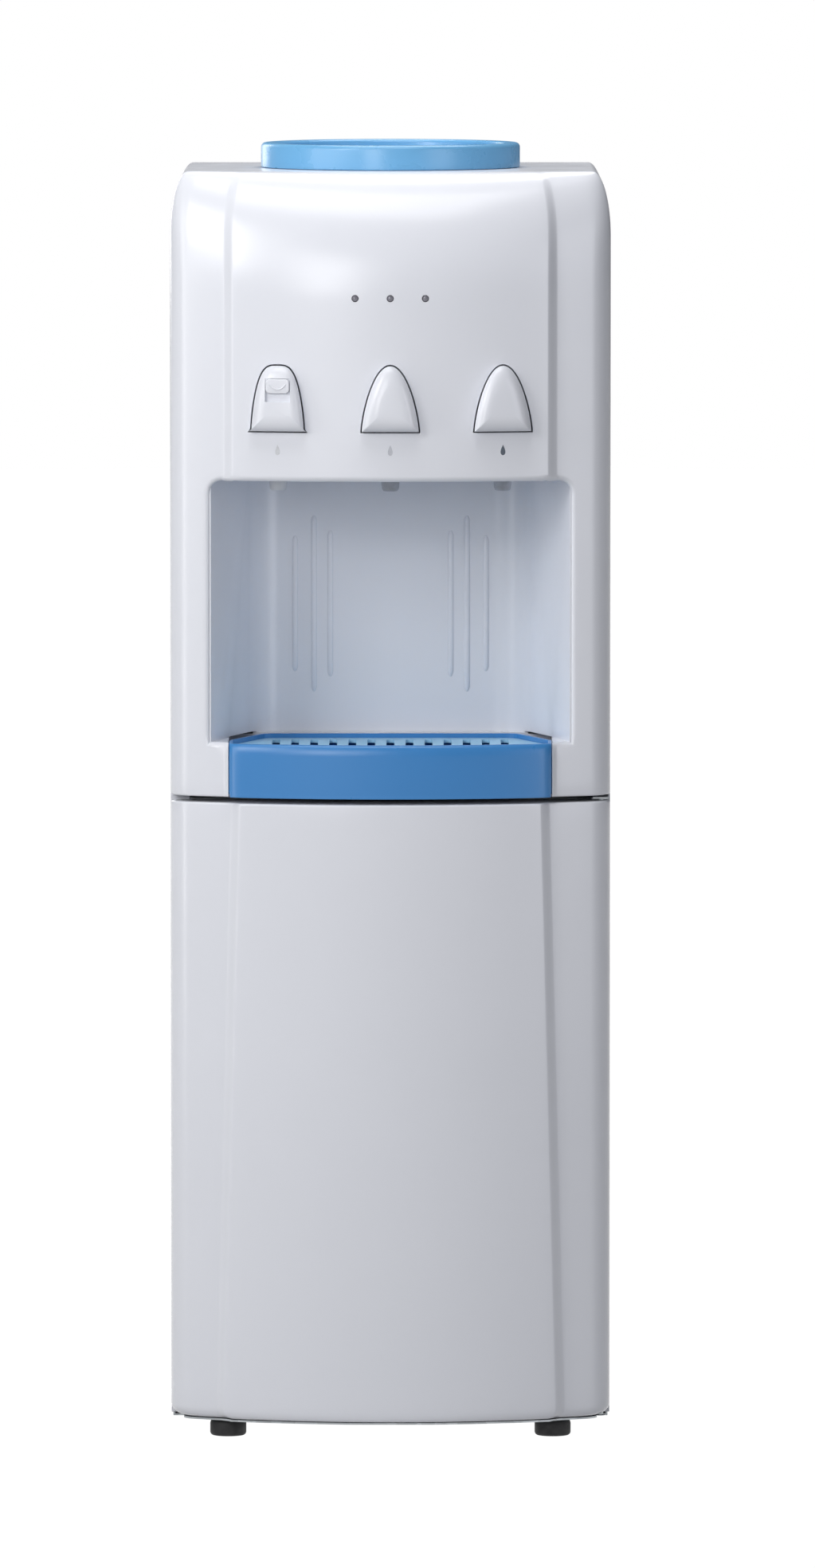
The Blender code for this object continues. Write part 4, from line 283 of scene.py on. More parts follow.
def powder_coated_steel(name, code):
    """Polyester powder baked on sheet steel: a satin film with an even orange peel of about 1.5 mm."""
    made, tree, place = blank(name)
    patch = node(tree, "ShaderNodeTexNoise", {}, {"Vector": place, "Scale": 1 / (150 * MM), "Detail": 3.0})
    colour = node(tree, "ShaderNodeMix", {"data_type": "RGBA"},
                  {0: patch.outputs["Fac"], 6: linear(shaded(code, 0.985)), 7: linear(shaded(code, 1.01))})
    peel = node(tree, "ShaderNodeTexNoise", {}, {"Vector": place, "Scale": 1 / (1.5 * MM), "Detail": 2.0})
    gloss = node(tree, "ShaderNodeMapRange", {}, {"Value": peel.outputs["Fac"], "From Min": 0.3, "From Max": 0.7,
                                                  "To Min": 0.32, "To Max": 0.42})
    bump = node(tree, "ShaderNodeBump", {}, {"Height": peel.outputs["Fac"], "Distance": 0.03 * MM})
    shader = node(tree, "ShaderNodeBsdfPrincipled", {},
                  {"Base Color": colour.outputs[2], "Roughness": gloss.outputs["Result"],
                   "Normal": bump.outputs["Normal"], "IOR": 1.5})
    node(tree, "ShaderNodeOutputMaterial", {}, {"Surface": shader.outputs["BSDF"]})
    return made


def galvanised_steel(name, code):
    """Hot-dip zinc on sheet: a grey metal broken into spangles of about 9 mm that turn light and dark."""
    made, tree, place = blank(name)
    warp = node(tree, "ShaderNodeTexNoise", {}, {"Vector": place, "Scale": 1 / (14 * MM), "Detail": 2.0})
    moved = node(tree, "ShaderNodeVectorMath", {"operation": "MULTIPLY_ADD"},
                 {0: warp.outputs["Color"], 1: (6 * MM, 6 * MM, 6 * MM), 2: place})
    spangle = node(tree, "ShaderNodeTexVoronoi", {}, {"Vector": moved.outputs["Vector"], "Scale": 1 / (9 * MM)})
    cell = node(tree, "ShaderNodeSeparateColor", {}, {"Color": spangle.outputs["Color"]})
    colour = node(tree, "ShaderNodeMix", {"data_type": "RGBA"},
                  {0: cell.outputs["Red"], 6: linear(shaded(code, 0.9)), 7: linear(shaded(code, 1.06))})
    gloss = node(tree, "ShaderNodeMapRange", {}, {"Value": cell.outputs["Green"], "To Min": 0.32, "To Max": 0.52})
    bump = node(tree, "ShaderNodeBump", {}, {"Height": cell.outputs["Blue"], "Distance": 0.01 * MM})
    shader = node(tree, "ShaderNodeBsdfPrincipled", {},
                  {"Base Color": colour.outputs[2], "Roughness": gloss.outputs["Result"],
                   "Normal": bump.outputs["Normal"], "Metallic": 1.0})
    node(tree, "ShaderNodeOutputMaterial", {}, {"Surface": shader.outputs["BSDF"]})
    return made


def brushed_stainless(code):
    """Deep-drawn and brushed stainless sheet: highlights drawn out across fine vertical scratches.
    The real scratches are 0.05 mm apart, so they are drawn 0.5 mm apart."""
    made, tree, place = blank("brushed_stainless")
    along = node(tree, "ShaderNodeMapping", {}, {"Vector": place, "Scale": (1.0, 1.0, 0.02)})
    scratch = node(tree, "ShaderNodeTexNoise", {},
                   {"Vector": along.outputs["Vector"], "Scale": 1 / (0.5 * MM), "Detail": 3.0})
    colour = node(tree, "ShaderNodeMix", {"data_type": "RGBA"},
                  {0: scratch.outputs["Fac"], 6: linear(shaded(code, 0.93)), 7: linear(shaded(code, 1.03))})
    gloss = node(tree, "ShaderNodeMapRange", {}, {"Value": scratch.outputs["Fac"], "From Min": 0.3, "From Max": 0.7,
                                                  "To Min": 0.2, "To Max": 0.36})
    bump = node(tree, "ShaderNodeBump", {}, {"Height": scratch.outputs["Fac"], "Distance": 0.01 * MM})
    shader = node(tree, "ShaderNodeBsdfPrincipled", {},
                  {"Base Color": colour.outputs[2], "Roughness": gloss.outputs["Result"],
                   "Normal": bump.outputs["Normal"], "Metallic": 1.0, "Anisotropic": 0.5})
    node(tree, "ShaderNodeOutputMaterial", {}, {"Surface": shader.outputs["BSDF"]})
    return made


def dipped_black_enamel(code):
    """Black paint dipped over steel tube and wire: a wet highlight with sags and a little grey dust."""
    made, tree, place = blank("dipped_black_enamel")
    dust = node(tree, "ShaderNodeTexNoise", {}, {"Vector": place, "Scale": 1 / (35 * MM), "Detail": 5.0})
    settled = node(tree, "ShaderNodeMapRange", {}, {"Value": dust.outputs["Fac"], "From Min": 0.5, "From Max": 0.85})
    colour = node(tree, "ShaderNodeMix", {"data_type": "RGBA"},
                  {0: settled.outputs["Result"], 6: linear(code), 7: linear("#3A3A3C")})
    gloss = node(tree, "ShaderNodeMapRange", {}, {"Value": dust.outputs["Fac"], "From Min": 0.35, "From Max": 0.8,
                                                  "To Min": 0.22, "To Max": 0.55})
    sag = node(tree, "ShaderNodeTexNoise", {}, {"Vector": place, "Scale": 1 / (5 * MM), "Detail": 2.0})
    bump = node(tree, "ShaderNodeBump", {}, {"Height": sag.outputs["Fac"], "Distance": 0.05 * MM})
    shader = node(tree, "ShaderNodeBsdfPrincipled", {},
                  {"Base Color": colour.outputs[2], "Roughness": gloss.outputs["Result"],
                   "Normal": bump.outputs["Normal"], "IOR": 1.5})
    node(tree, "ShaderNodeOutputMaterial", {}, {"Surface": shader.outputs["BSDF"]})
    return made


def drawn_copper(code):
    """Drawn copper tube: bright orange metal with brown patches where hands and brazing left it."""
    made, tree, place = blank("drawn_copper")
    stain = node(tree, "ShaderNodeTexNoise", {}, {"Vector": place, "Scale": 1 / (16 * MM), "Detail": 5.0})
    brown = node(tree, "ShaderNodeMapRange", {}, {"Value": stain.outputs["Fac"], "From Min": 0.4, "From Max": 0.75})
    colour = node(tree, "ShaderNodeMix", {"data_type": "RGBA"},
                  {0: brown.outputs["Result"], 6: linear(code), 7: linear("#7A4630")})
    gloss = node(tree, "ShaderNodeMapRange", {}, {"Value": stain.outputs["Fac"], "From Min": 0.3, "From Max": 0.7,
                                                  "To Min": 0.2, "To Max": 0.5})
    draw = node(tree, "ShaderNodeTexNoise", {}, {"Vector": place, "Scale": 1 / (1.2 * MM), "Detail": 1.0})
    bump = node(tree, "ShaderNodeBump", {}, {"Height": draw.outputs["Fac"], "Distance": 0.01 * MM})
    shader = node(tree, "ShaderNodeBsdfPrincipled", {},
                  {"Base Color": colour.outputs[2], "Roughness": gloss.outputs["Result"],
                   "Normal": bump.outputs["Normal"], "Metallic": 1.0})
    node(tree, "ShaderNodeOutputMaterial", {}, {"Surface": shader.outputs["BSDF"]})
    return made


def moulded_epdm(name, code):
    """Compression-moulded EPDM rubber: dull, with a grey bloom and a fine tooth."""
    made, tree, place = blank(name)
    bloom = node(tree, "ShaderNodeTexNoise", {}, {"Vector": place, "Scale": 1 / (8 * MM), "Detail": 5.0})
    colour = node(tree, "ShaderNodeMix", {"data_type": "RGBA"},
                  {0: bloom.outputs["Fac"], 6: linear(shaded(code, 0.85)), 7: linear(shaded(code, 1.35))})
    gloss = node(tree, "ShaderNodeMapRange", {}, {"Value": bloom.outputs["Fac"], "From Min": 0.3, "From Max": 0.7,
                                                  "To Min": 0.55, "To Max": 0.8})
    tooth = node(tree, "ShaderNodeTexNoise", {}, {"Vector": place, "Scale": 1 / (0.8 * MM), "Detail": 2.0})
    bump = node(tree, "ShaderNodeBump", {}, {"Height": tooth.outputs["Fac"], "Distance": 0.05 * MM})
    shader = node(tree, "ShaderNodeBsdfPrincipled", {},
                  {"Base Color": colour.outputs[2], "Roughness": gloss.outputs["Result"],
                   "Normal": bump.outputs["Normal"], "IOR": 1.52})
    node(tree, "ShaderNodeOutputMaterial", {}, {"Surface": shader.outputs["BSDF"]})
    return made


def expanded_polystyrene(code):
    """Steam-moulded EPS beads of 4 mm: matt white, with painted shade that darkens each bead towards its edge, where
    the crevices between beads lie.
    """
    made, tree, place = blank("expanded_polystyrene")
    bead = node(tree, "ShaderNodeTexVoronoi", {"feature": "SMOOTH_F1"},
                {"Vector": place, "Scale": 1 / (4 * MM), "Smoothness": 0.3})
    # Painted shade: the colour darkens towards each bead's edge, in the crevices that the bump below draws.
    colour = node(tree, "ShaderNodeMix", {"data_type": "RGBA"},
                  {0: bead.outputs["Distance"], 6: linear(code), 7: linear(shaded(code, 0.84))})
    bump = node(tree, "ShaderNodeBump", {"invert": True}, {"Height": bead.outputs["Distance"], "Distance": 0.5 * MM})
    shader = node(tree, "ShaderNodeBsdfPrincipled", {},
                  {"Base Color": colour.outputs[2], "Normal": bump.outputs["Normal"], "Roughness": 0.85, "IOR": 1.45})
    node(tree, "ShaderNodeOutputMaterial", {}, {"Surface": shader.outputs["BSDF"]})
    return made


def extruded_silicone(code):
    """Extruded silicone hose: milky and half clear, with faint lines along the draw."""
    made, tree, place = blank("extruded_silicone")
    haze = node(tree, "ShaderNodeTexNoise", {}, {"Vector": place, "Scale": 1 / (12 * MM), "Detail": 3.0})
    colour = node(tree, "ShaderNodeMix", {"data_type": "RGBA"},
                  {0: haze.outputs["Fac"], 6: linear(shaded(code, 0.94)), 7: linear(shaded(code, 1.02))})
    gloss = node(tree, "ShaderNodeMapRange", {}, {"Value": haze.outputs["Fac"], "From Min": 0.3, "From Max": 0.7,
                                                  "To Min": 0.3, "To Max": 0.45})
    line = node(tree, "ShaderNodeTexNoise", {}, {"Vector": place, "Scale": 1 / (1.5 * MM), "Detail": 1.0})
    bump = node(tree, "ShaderNodeBump", {}, {"Height": line.outputs["Fac"], "Distance": 0.02 * MM})
    shader = node(tree, "ShaderNodeBsdfPrincipled", {},
                  {"Base Color": colour.outputs[2], "Roughness": gloss.outputs["Result"],
                   "Normal": bump.outputs["Normal"], "IOR": 1.41, "Transmission Weight": 0.35})
    node(tree, "ShaderNodeOutputMaterial", {}, {"Surface": shader.outputs["BSDF"]})
    return made


def smoked_polycarbonate(code):
    """Moulded polycarbonate lens, unlit: a small grey bead with a sharp highlight."""
    made, tree, place = blank("smoked_polycarbonate")
    cloud = node(tree, "ShaderNodeTexNoise", {}, {"Vector": place, "Scale": 1 / (3 * MM), "Detail": 2.0})
    colour = node(tree, "ShaderNodeMix", {"data_type": "RGBA"},
                  {0: cloud.outputs["Fac"], 6: linear(shaded(code, 0.92)), 7: linear(shaded(code, 1.06))})
    gloss = node(tree, "ShaderNodeMapRange", {}, {"Value": cloud.outputs["Fac"], "From Min": 0.3, "From Max": 0.7,
                                                  "To Min": 0.08, "To Max": 0.16})
    bump = node(tree, "ShaderNodeBump", {}, {"Height": cloud.outputs["Fac"], "Distance": 0.01 * MM})
    shader = node(tree, "ShaderNodeBsdfPrincipled", {},
                  {"Base Color": colour.outputs[2], "Roughness": gloss.outputs["Result"],
                   "Normal": bump.outputs["Normal"], "IOR": 1.585, "Transmission Weight": 0.2})
    node(tree, "ShaderNodeOutputMaterial", {}, {"Surface": shader.outputs["BSDF"]})
    return made


def etched_board(code):
    """Glass-epoxy board under solder mask: glossy green over raised copper tracks, 6 mm apart."""
    made, tree, place = blank("etched_board")
    upright = node(tree, "ShaderNodeMapping", {}, {"Vector": place, "Rotation": (math.pi / 2, 0, 0)})
    track = node(tree, "ShaderNodeTexBrick", {}, {"Vector": upright.outputs["Vector"], "Scale": 1 / (6 * MM),
                                                  "Mortar Size": 0.12, "Mortar Smooth": 0.2})
    colour = node(tree, "ShaderNodeMix", {"data_type": "RGBA"},
                  {0: track.outputs["Fac"], 6: linear(code), 7: linear(shaded(code, 1.6))})
    bump = node(tree, "ShaderNodeBump", {}, {"Height": track.outputs["Fac"], "Distance": 0.05 * MM})
    shader = node(tree, "ShaderNodeBsdfPrincipled", {},
                  {"Base Color": colour.outputs[2], "Normal": bump.outputs["Normal"], "Roughness": 0.3, "IOR": 1.5})
    node(tree, "ShaderNodeOutputMaterial", {}, {"Surface": shader.outputs["BSDF"]})
    return made


def pad_printed_ink(name, code):
    """Pad-printed ink film: flat colour of slightly uneven density, with a satin face."""
    made, tree, place = blank(name)
    density = node(tree, "ShaderNodeTexNoise", {}, {"Vector": place, "Scale": 1 / (1.5 * MM), "Detail": 3.0})
    colour = node(tree, "ShaderNodeMix", {"data_type": "RGBA"},
                  {0: density.outputs["Fac"], 6: linear(shaded(code, 0.94)), 7: linear(shaded(code, 1.06))})
    gloss = node(tree, "ShaderNodeMapRange", {}, {"Value": density.outputs["Fac"], "From Min": 0.3, "From Max": 0.7,
                                                  "To Min": 0.35, "To Max": 0.5})
    bump = node(tree, "ShaderNodeBump", {}, {"Height": density.outputs["Fac"], "Distance": 0.01 * MM})
    shader = node(tree, "ShaderNodeBsdfPrincipled", {},
                  {"Base Color": colour.outputs[2], "Roughness": gloss.outputs["Result"],
                   "Normal": bump.outputs["Normal"], "IOR": 1.48})
    node(tree, "ShaderNodeOutputMaterial", {}, {"Surface": shader.outputs["BSDF"]})
    return made


FINISHES = {}


def finish(use):
    """The material for a use, made the first time that a piece asks for it."""
    look = bpy.context.scene.dispenser_look
    makers = {
        "shell": lambda: moulded_gloss_abs("moulded_white_abs", look.shell_colour, look.shell_roughness),
        "lining": lambda: vacuum_formed_hips(look.lining_colour),
        "tray": lambda: moulded_gloss_abs("moulded_blue_abs", look.tray_colour, 0.3),
        "collar": lambda: moulded_gloss_abs("moulded_collar_abs", look.collar_colour, 0.28),
        "grille": lambda: moulded_grained_abs("moulded_pale_blue_abs", look.grille_colour),
        "sheet": lambda: powder_coated_steel("powder_coated_steel", look.shell_colour),
        "zinc": lambda: galvanised_steel("galvanised_steel", "#B4B9BC"),
        "screw": lambda: galvanised_steel("zinc_plated_steel", "#C9CBCC"),
        "stainless": lambda: brushed_stainless("#C6C6C4"),
        "enamel": lambda: dipped_black_enamel("#131315"),
        "copper": lambda: drawn_copper("#D98A5C"),
        "rubber": lambda: moulded_epdm("moulded_black_epdm", "#161618"),
        "grey_rubber": lambda: moulded_epdm("moulded_grey_epdm", "#989BA2"),
        "foam": lambda: expanded_polystyrene("#F0F0EC"),
        "hose": lambda: extruded_silicone("#E4E8E8"),
        "lens": lambda: smoked_polycarbonate("#8B8A94"),
        "board": lambda: etched_board("#1C5A33"),
        "red": lambda: moulded_gloss_abs("moulded_red_abs", "#B3241C", 0.3),
        "green": lambda: moulded_gloss_abs("moulded_green_abs", "#2A7A3A", 0.3),
        "dark_ink": lambda: pad_printed_ink("pad_printed_dark_ink", "#5C6470"),
        "mid_ink": lambda: pad_printed_ink("pad_printed_mid_ink", "#C4C6CE"),
        "pale_ink": lambda: pad_printed_ink("pad_printed_pale_ink", "#CFD1D6"),
    }
    if use not in FINISHES:
        FINISHES[use] = makers[use]()
    return FINISHES[use]


# Mesh tools

def mesh_of(bm):
    """The mesh of a bmesh, its faces turned outwards."""
    mesh = bpy.data.meshes.new("mesh")
    bmesh.ops.recalc_face_normals(bm, faces=bm.faces)
    bm.to_mesh(mesh)
    bm.free()
    return mesh


def loose(mesh):
    """An object that only serves to cut or join others."""
    obj = bpy.data.objects.new("tool", mesh)
    bpy.context.scene.collection.objects.link(obj)
    return obj


def piece(name, mesh, material, body, stands_for=(), sharp=32):
    """A finished piece: its mesh, its material and the body that it moves with."""
    mesh.name = name
    mesh.materials.clear()
    mesh.materials.append(material)
    mesh.shade_smooth()
    mesh.set_sharp_from_angle(angle=math.radians(sharp))
    obj = bpy.data.objects.new(name, mesh)
    bpy.context.scene.collection.objects.link(obj)
    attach(obj, body)
    if stands_for:
        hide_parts(*stands_for)
    return obj


def settled(obj):
    """The mesh of an object with its modifiers applied; the object goes."""
    graph = bpy.context.evaluated_depsgraph_get()
    graph.update()
    mesh = bpy.data.meshes.new_from_object(obj.evaluated_get(graph))
    bpy.data.objects.remove(obj, do_unlink=True)
    return mesh


def carve(mesh, *tools, operation="DIFFERENCE"):
    """Cut tool meshes out of a mesh, or join them to it."""
    obj = loose(mesh)
    helpers = [loose(tool) for tool in tools]
    for helper in helpers:
        mod = obj.modifiers.new("Carve", "BOOLEAN")
        mod.object = helper
        mod.operation = operation
    mesh = settled(obj)
    for helper in helpers:
        bpy.data.objects.remove(helper, do_unlink=True)
    return mesh


def rounded(mesh, width, segments=3):
    """A mesh with its sharp edges rounded."""
    obj = loose(mesh)
    mod = obj.modifiers.new("Round", "BEVEL")
    mod.width = width
    mod.segments = segments
    mod.limit_method = "ANGLE"
    mod.angle_limit = SHARP_EDGE
    return settled(obj)


def joined(meshes):
    """Several meshes as one, not cut together."""
    bm = bmesh.new()
    for mesh in meshes:
        bm.from_mesh(mesh)
    return mesh_of(bm)


def lofted(rings):
    """A skin through rings of equal count, with both ends closed."""
    bm = bmesh.new()
    rows = [[bm.verts.new(point) for point in ring] for ring in rings]
    count = len(rings[0])
    for low, high in zip(rows, rows[1:]):
        for i in range(count):
            k = (i + 1) % count
            bm.faces.new((low[i], low[k], high[k], high[i]))
    bm.faces.new(list(reversed(rows[0])))
    bm.faces.new(rows[-1])
    return mesh_of(bm)


def prism(outline, low, high, along="Z"):
    """An outline pushed along Z, or along Y, where it holds (x, z)."""
    if along == "Y":
        return lofted([[(u, w, v) for u, v in outline] for w in (low, high)])
    return lofted([[(u, v, w) for u, v in outline] for w in (low, high)])


def box(low, high):
    """A block between two corners."""
    return prism([(low[0], low[1]), (high[0], low[1]), (high[0], high[1]), (low[0], high[1])], low[2], high[2])


def turned(profile, centre=(0, 0, 0), steps=96, closed=False):
    """A profile of (radius, height) turned about Z. Radius 0 closes an end to a point."""
    bm = bmesh.new()
    columns = []
    for k in range(steps):
        a = math.tau * k / steps
        columns.append([bm.verts.new((centre[0] + r * math.cos(a), centre[1] + r * math.sin(a), centre[2] + z))
                        for r, z in profile])
    last = len(profile) if closed else len(profile) - 1
    for k in range(steps):
        this, other = columns[k], columns[(k + 1) % steps]
        for i in range(last):
            j = (i + 1) % len(profile)
            bm.faces.new((this[i], other[i], other[j], this[j]))
    bmesh.ops.remove_doubles(bm, verts=bm.verts, dist=0.001 * MM)
    return mesh_of(bm)


def aimed(mesh, start, direction):
    """A mesh made about Z, moved so that its Z runs from a point along a direction."""
    turn = Vector(direction).to_track_quat("Z", "Y").to_matrix().to_4x4()
    mesh.transform(Matrix.Translation(start) @ turn)
    return mesh


def rod(start, end, radius, sides=48, edge=0.0):
    """A round bar between two points, with its end edges rounded."""
    run = Vector(end) - Vector(start)
    profile = [(0, 0)]
    if edge:
        for height, first in ((edge, -90), (run.length - edge, 0)):
            for k in range(4):
                a = math.radians(first + 30 * k)
                profile.append((radius - edge + edge * math.cos(a), height + edge * math.sin(a)))
    else:
        profile += [(radius, 0), (radius, run.length)]
    profile.append((0, run.length))
    return aimed(turned(profile, steps=sides), start, run)


def tube(points, radius, resolution=6):
    """A round tube along points."""
    curve = bpy.data.curves.new("route", "CURVE")
    curve.dimensions = "3D"
    curve.bevel_depth = radius
    curve.bevel_resolution = resolution
    curve.use_fill_caps = True
    spline = curve.splines.new("POLY")
    spline.points.add(len(points) - 1)
    for spot, place in zip(spline.points, points):
        spot.co = (*place, 1.0)
    obj = bpy.data.objects.new("route", curve)
    bpy.context.scene.collection.objects.link(obj)
    return settled(obj)


def soft_route(points, radius):
    """A route through points with each inner corner rounded."""
    points = [Vector(p) for p in points]
    route = [points[0]]
    for before, corner, after in zip(points, points[1:], points[2:]):
        reach = min(radius, (before - corner).length * 0.45, (after - corner).length * 0.45)
        start = corner + (before - corner).normalized() * reach
        end = corner + (after - corner).normalized() * reach
        for i in range(11):
            t = i / 10
            route.append(start * (1 - t) ** 2 + corner * (2 * t * (1 - t)) + end * t ** 2)
    route.append(points[-1])
    return route


def rounded_outline(corners, steps=14):
    """A closed outline from (x, y, radius) corners."""
    outline = []
    for i, (x, y, radius) in enumerate(corners):
        corner = Vector((x, y))
        if radius == 0:
            outline.append((x, y))
            continue
        before = (Vector(corners[i - 1][:2]) - corner).normalized()
        after = (Vector(corners[(i + 1) % len(corners)][:2]) - corner).normalized()
        half = before.angle(after) / 2
        middle = corner + (before + after).normalized() * (radius / math.sin(half))
        first = corner + before * (radius / math.tan(half)) - middle
        last = corner + after * (radius / math.tan(half)) - middle
        sweep = first.angle_signed(last)
        for k in range(steps + 1):
            spot = middle + Matrix.Rotation(-sweep * k / steps, 2) @ first
            outline.append((spot.x, spot.y))
    return outline


def ease(t):
    """A soft step from 0 to 1."""
    t = min(max(t, 0.0), 1.0)
    return t * t * (3 - 2 * t)


def sweep(steps):
    """Angles of a quarter turn, in equal steps, with both ends."""
    return [math.radians(90 * k / steps) for k in range(steps + 1)]


def fillet(t):
    """Drop of a quarter round, from 0 at the flat to 1 at the edge."""
    t = min(max(t, 0.0), 1.0)
    return 1 - math.sqrt(1 - t * t)


# The bowed front: a middle panel, a rounded step on each side, and two cheeks

def front_y(x, crease):
    """How far forward the front lies at a distance from the middle."""
    bow = PANEL_RADIUS - math.sqrt(PANEL_RADIUS ** 2 - x * x)
    return -FRONT + bow + STEP_DEPTH * ease((abs(x) - crease) / STEP_WIDTH)


def half_plan(crease, seam):
    """Left half of the plan: a straight side, a corner round, the cheek, the step and the panel."""
    slope = math.asin((HALF_WIDTH - CORNER_RADIUS * 0.6) / PANEL_RADIUS)
    start_x = HALF_WIDTH - CORNER_RADIUS * (1 - math.sin(slope))
    middle_x = HALF_WIDTH - CORNER_RADIUS
    middle_y = front_y(start_x, crease) + CORNER_RADIUS * math.cos(slope)
    points = [(-HALF_WIDTH, seam)]
    for i in range(17):
        angle = math.pi / 2 + (slope - math.pi / 2) * i / 16
        points.append((-middle_x - CORNER_RADIUS * math.sin(angle), middle_y - CORNER_RADIUS * math.cos(angle)))
    cheek_end = crease + STEP_WIDTH
    runs = ((start_x, cheek_end, 9), (cheek_end, crease, 14), (crease, 0.0, 26))
    for first, last, count in runs:
        for k in range(1, count + 1):
            x = first + (last - first) * k / count
            points.append((-x, front_y(x, crease)))
    return points


def plan(crease, seam, inset=0.0, back=None):
    """Closed plan of the front, moved inwards by an inset, then straight back at both sides."""
    half = half_plan(crease, seam)
    line = half + [(-x, y) for x, y in reversed(half[:-1])]
    moved = []
    for i, (x, y) in enumerate(line):
        before = Vector(line[max(i - 1, 0)])
        after = Vector(line[min(i + 1, len(line) - 1)])
        run = (after - before).normalized()
        moved.append((x - run.y * inset, y + run.x * inset))
    if back is not None:
        moved = [(moved[0][0], back)] + moved + [(moved[-1][0], back)]
    return moved


def shoulder(z, inset=0.0):
    """Share of the width that is left at a height, where the sides round in to the deck."""
    start = DECK - SHOULDER_HEIGHT
    t = min(max((z - start) / (SHOULDER_HEIGHT - inset), 0.0), 1.0)
    return 1 - SHOULDER_WIDTH / HALF_WIDTH * fillet(t)


def cover_skin(inset, bottom, back=None, edge=0.0):
    """The upper front, its bottom edge rounded, rolling back to the deck over the forehead."""
    rings = []
    for a in sweep(4) if edge else ():
        line = plan(COVER_CREASE, SEAM_Y, inset + edge * (1 - math.sin(a)), back)
        rings.append([(x, y, bottom + edge * (1 - math.cos(a))) for x, y in line])
    line = plan(COVER_CREASE, SEAM_Y, inset, back)
    start = bottom + edge
    for k in range(1 if edge else 0, 40):
        rings.append([(x, y, start + (FOREHEAD - start) * k / 40) for x, y in line])
    top = DECK - inset
    for a in sweep(30):
        z = FOREHEAD + (top - FOREHEAD) * math.sin(a)
        lean = (1 - math.cos(a)) * (1 - FOREHEAD_REST)
        keep = shoulder(z, inset)
        rings.append([(x * keep, y + max(SEAM_Y - y, 0.0) * lean, z) for x, y in line])
    return lofted(rings)


def mouth_tool(outline, lip, reach):
    """A cutter that follows the bowed front and leaves a rounded lip. Outline holds (x, z)."""
    count = len(outline)
    area = sum(outline[i - 1][0] * outline[i][1] - outline[i][0] * outline[i - 1][1] for i in range(count))
    way = 1 if area > 0 else -1
    outward = []
    for i in range(count):
        run = (Vector(outline[(i + 1) % count]) - Vector(outline[i - 1])).normalized()
        outward.append((run.y * way, -run.x * way))
    rings = [[(x + nx * lip, -FRONT - 20 * MM, z + nz * lip) for (x, z), (nx, nz) in zip(outline, outward)]]
    for a in sweep(10):
        depth, grow = lip * (1 - math.cos(a)), lip * (1 - math.sin(a))
        ring = []
        for (x, z), (nx, nz) in zip(outline, outward):
            u = x + nx * grow
            ring.append((u, front_y(u, COVER_CREASE) + depth, z + nz * grow))
        rings.append(ring)
    rings.append([(x, reach, z) for x, z in outline])
    return lofted(rings)


def dense(outline, step):
    """An outline with points no further apart than a step."""
    made = []
    for i, point in enumerate(outline):
        other = outline[(i + 1) % len(outline)]
        count = max(1, math.ceil(math.dist(point, other) / step))
        made += [(point[0] + (other[0] - point[0]) * k / count, point[1] + (other[1] - point[1]) * k / count)
                 for k in range(count)]
    return made


def button_outline(grow, squarer):
    """Bullet-shaped arch with a flat foot, as (x, z) about the foot's middle."""
    half = BUTTON_WIDTH / 2
    power = 3.4 if squarer else 2.0
    reach = half * (0.92 if squarer else 1.0) + grow
    outline = [(half + grow, -grow)]
    for i in range(1, ARCH_STEPS):
        x = math.cos(math.pi * i / ARCH_STEPS)
        outline.append((reach * x, (BUTTON_HEIGHT + grow) * (1 - abs(x) ** power) ** 0.72))
    outline.append((-half - grow, -grow))
    return outline


def niche_outline(inset):
    """Plan of the recess: drafted side walls and large fillets to the back wall."""
    front_half = RECESS_HALF_WIDTH - inset
    back_half = RECESS_BACK_HALF_WIDTH - inset
    return rounded_outline([(-front_half, SEAM_Y - 35 * MM, 0), (-front_half - 14 * MM, -200 * MM, 0),
                            (front_half + 14 * MM, -200 * MM, 0), (front_half, SEAM_Y - 35 * MM, 0),
                            (back_half, RECESS_BACK_Y - inset, RECESS_FILLET - inset),
                            (-back_half, RECESS_BACK_Y - inset, RECESS_FILLET - inset)], 20)


# Pieces of the front

def make_cover(look):
    """The upper front shell with the recess's mouth, the tray's slot and holes for buttons and lights."""
    shell = cover_skin(0, COVER_BOTTOM, edge=1.6 * MM)
    hollow = cover_skin(WALL, COVER_BOTTOM - PAST, SEAM_Y + PAST)
    half, top = RECESS_HALF_WIDTH, RECESS_TOP
    mouth = rounded_outline([(-half, RECESS_BOTTOM, 0), (half, RECESS_BOTTOM, 0),
                             (half, top, 10 * MM), (-half, top, 10 * MM)])
    tools = [hollow, mouth_tool(dense(mouth, 6 * MM), look.lip, SEAM_Y)]
    slot = TRAY_HALF_WIDTH + 0.5 * MM
    under = [(-slot, COVER_BOTTOM - PAST), (slot, COVER_BOTTOM - PAST),
             (slot, RECESS_BOTTOM + 8 * MM), (-slot, RECESS_BOTTOM + 8 * MM)]
    tools.append(mouth_tool(dense(under, 5 * MM), 1.0 * MM, SEAM_Y - 5 * MM))
    for x, squarer in TAPS.values():
        hole = [(x + u, BUTTON_BOTTOM + v) for u, v in button_outline(look.button_gap, squarer)]
        tools.append(mouth_tool(dense(hole, 3 * MM), 0.8 * MM, -140 * MM))
    for x in LIGHTS:
        tools.append(rod((x, -FRONT - PAST, LIGHT_Z), (x, -150 * MM, LIGHT_Z), LIGHT_RADIUS + 0.4 * MM))
    piece("front_cover", carve(shell, *tools), finish("shell"), "housing", ["upper_front_cover"])


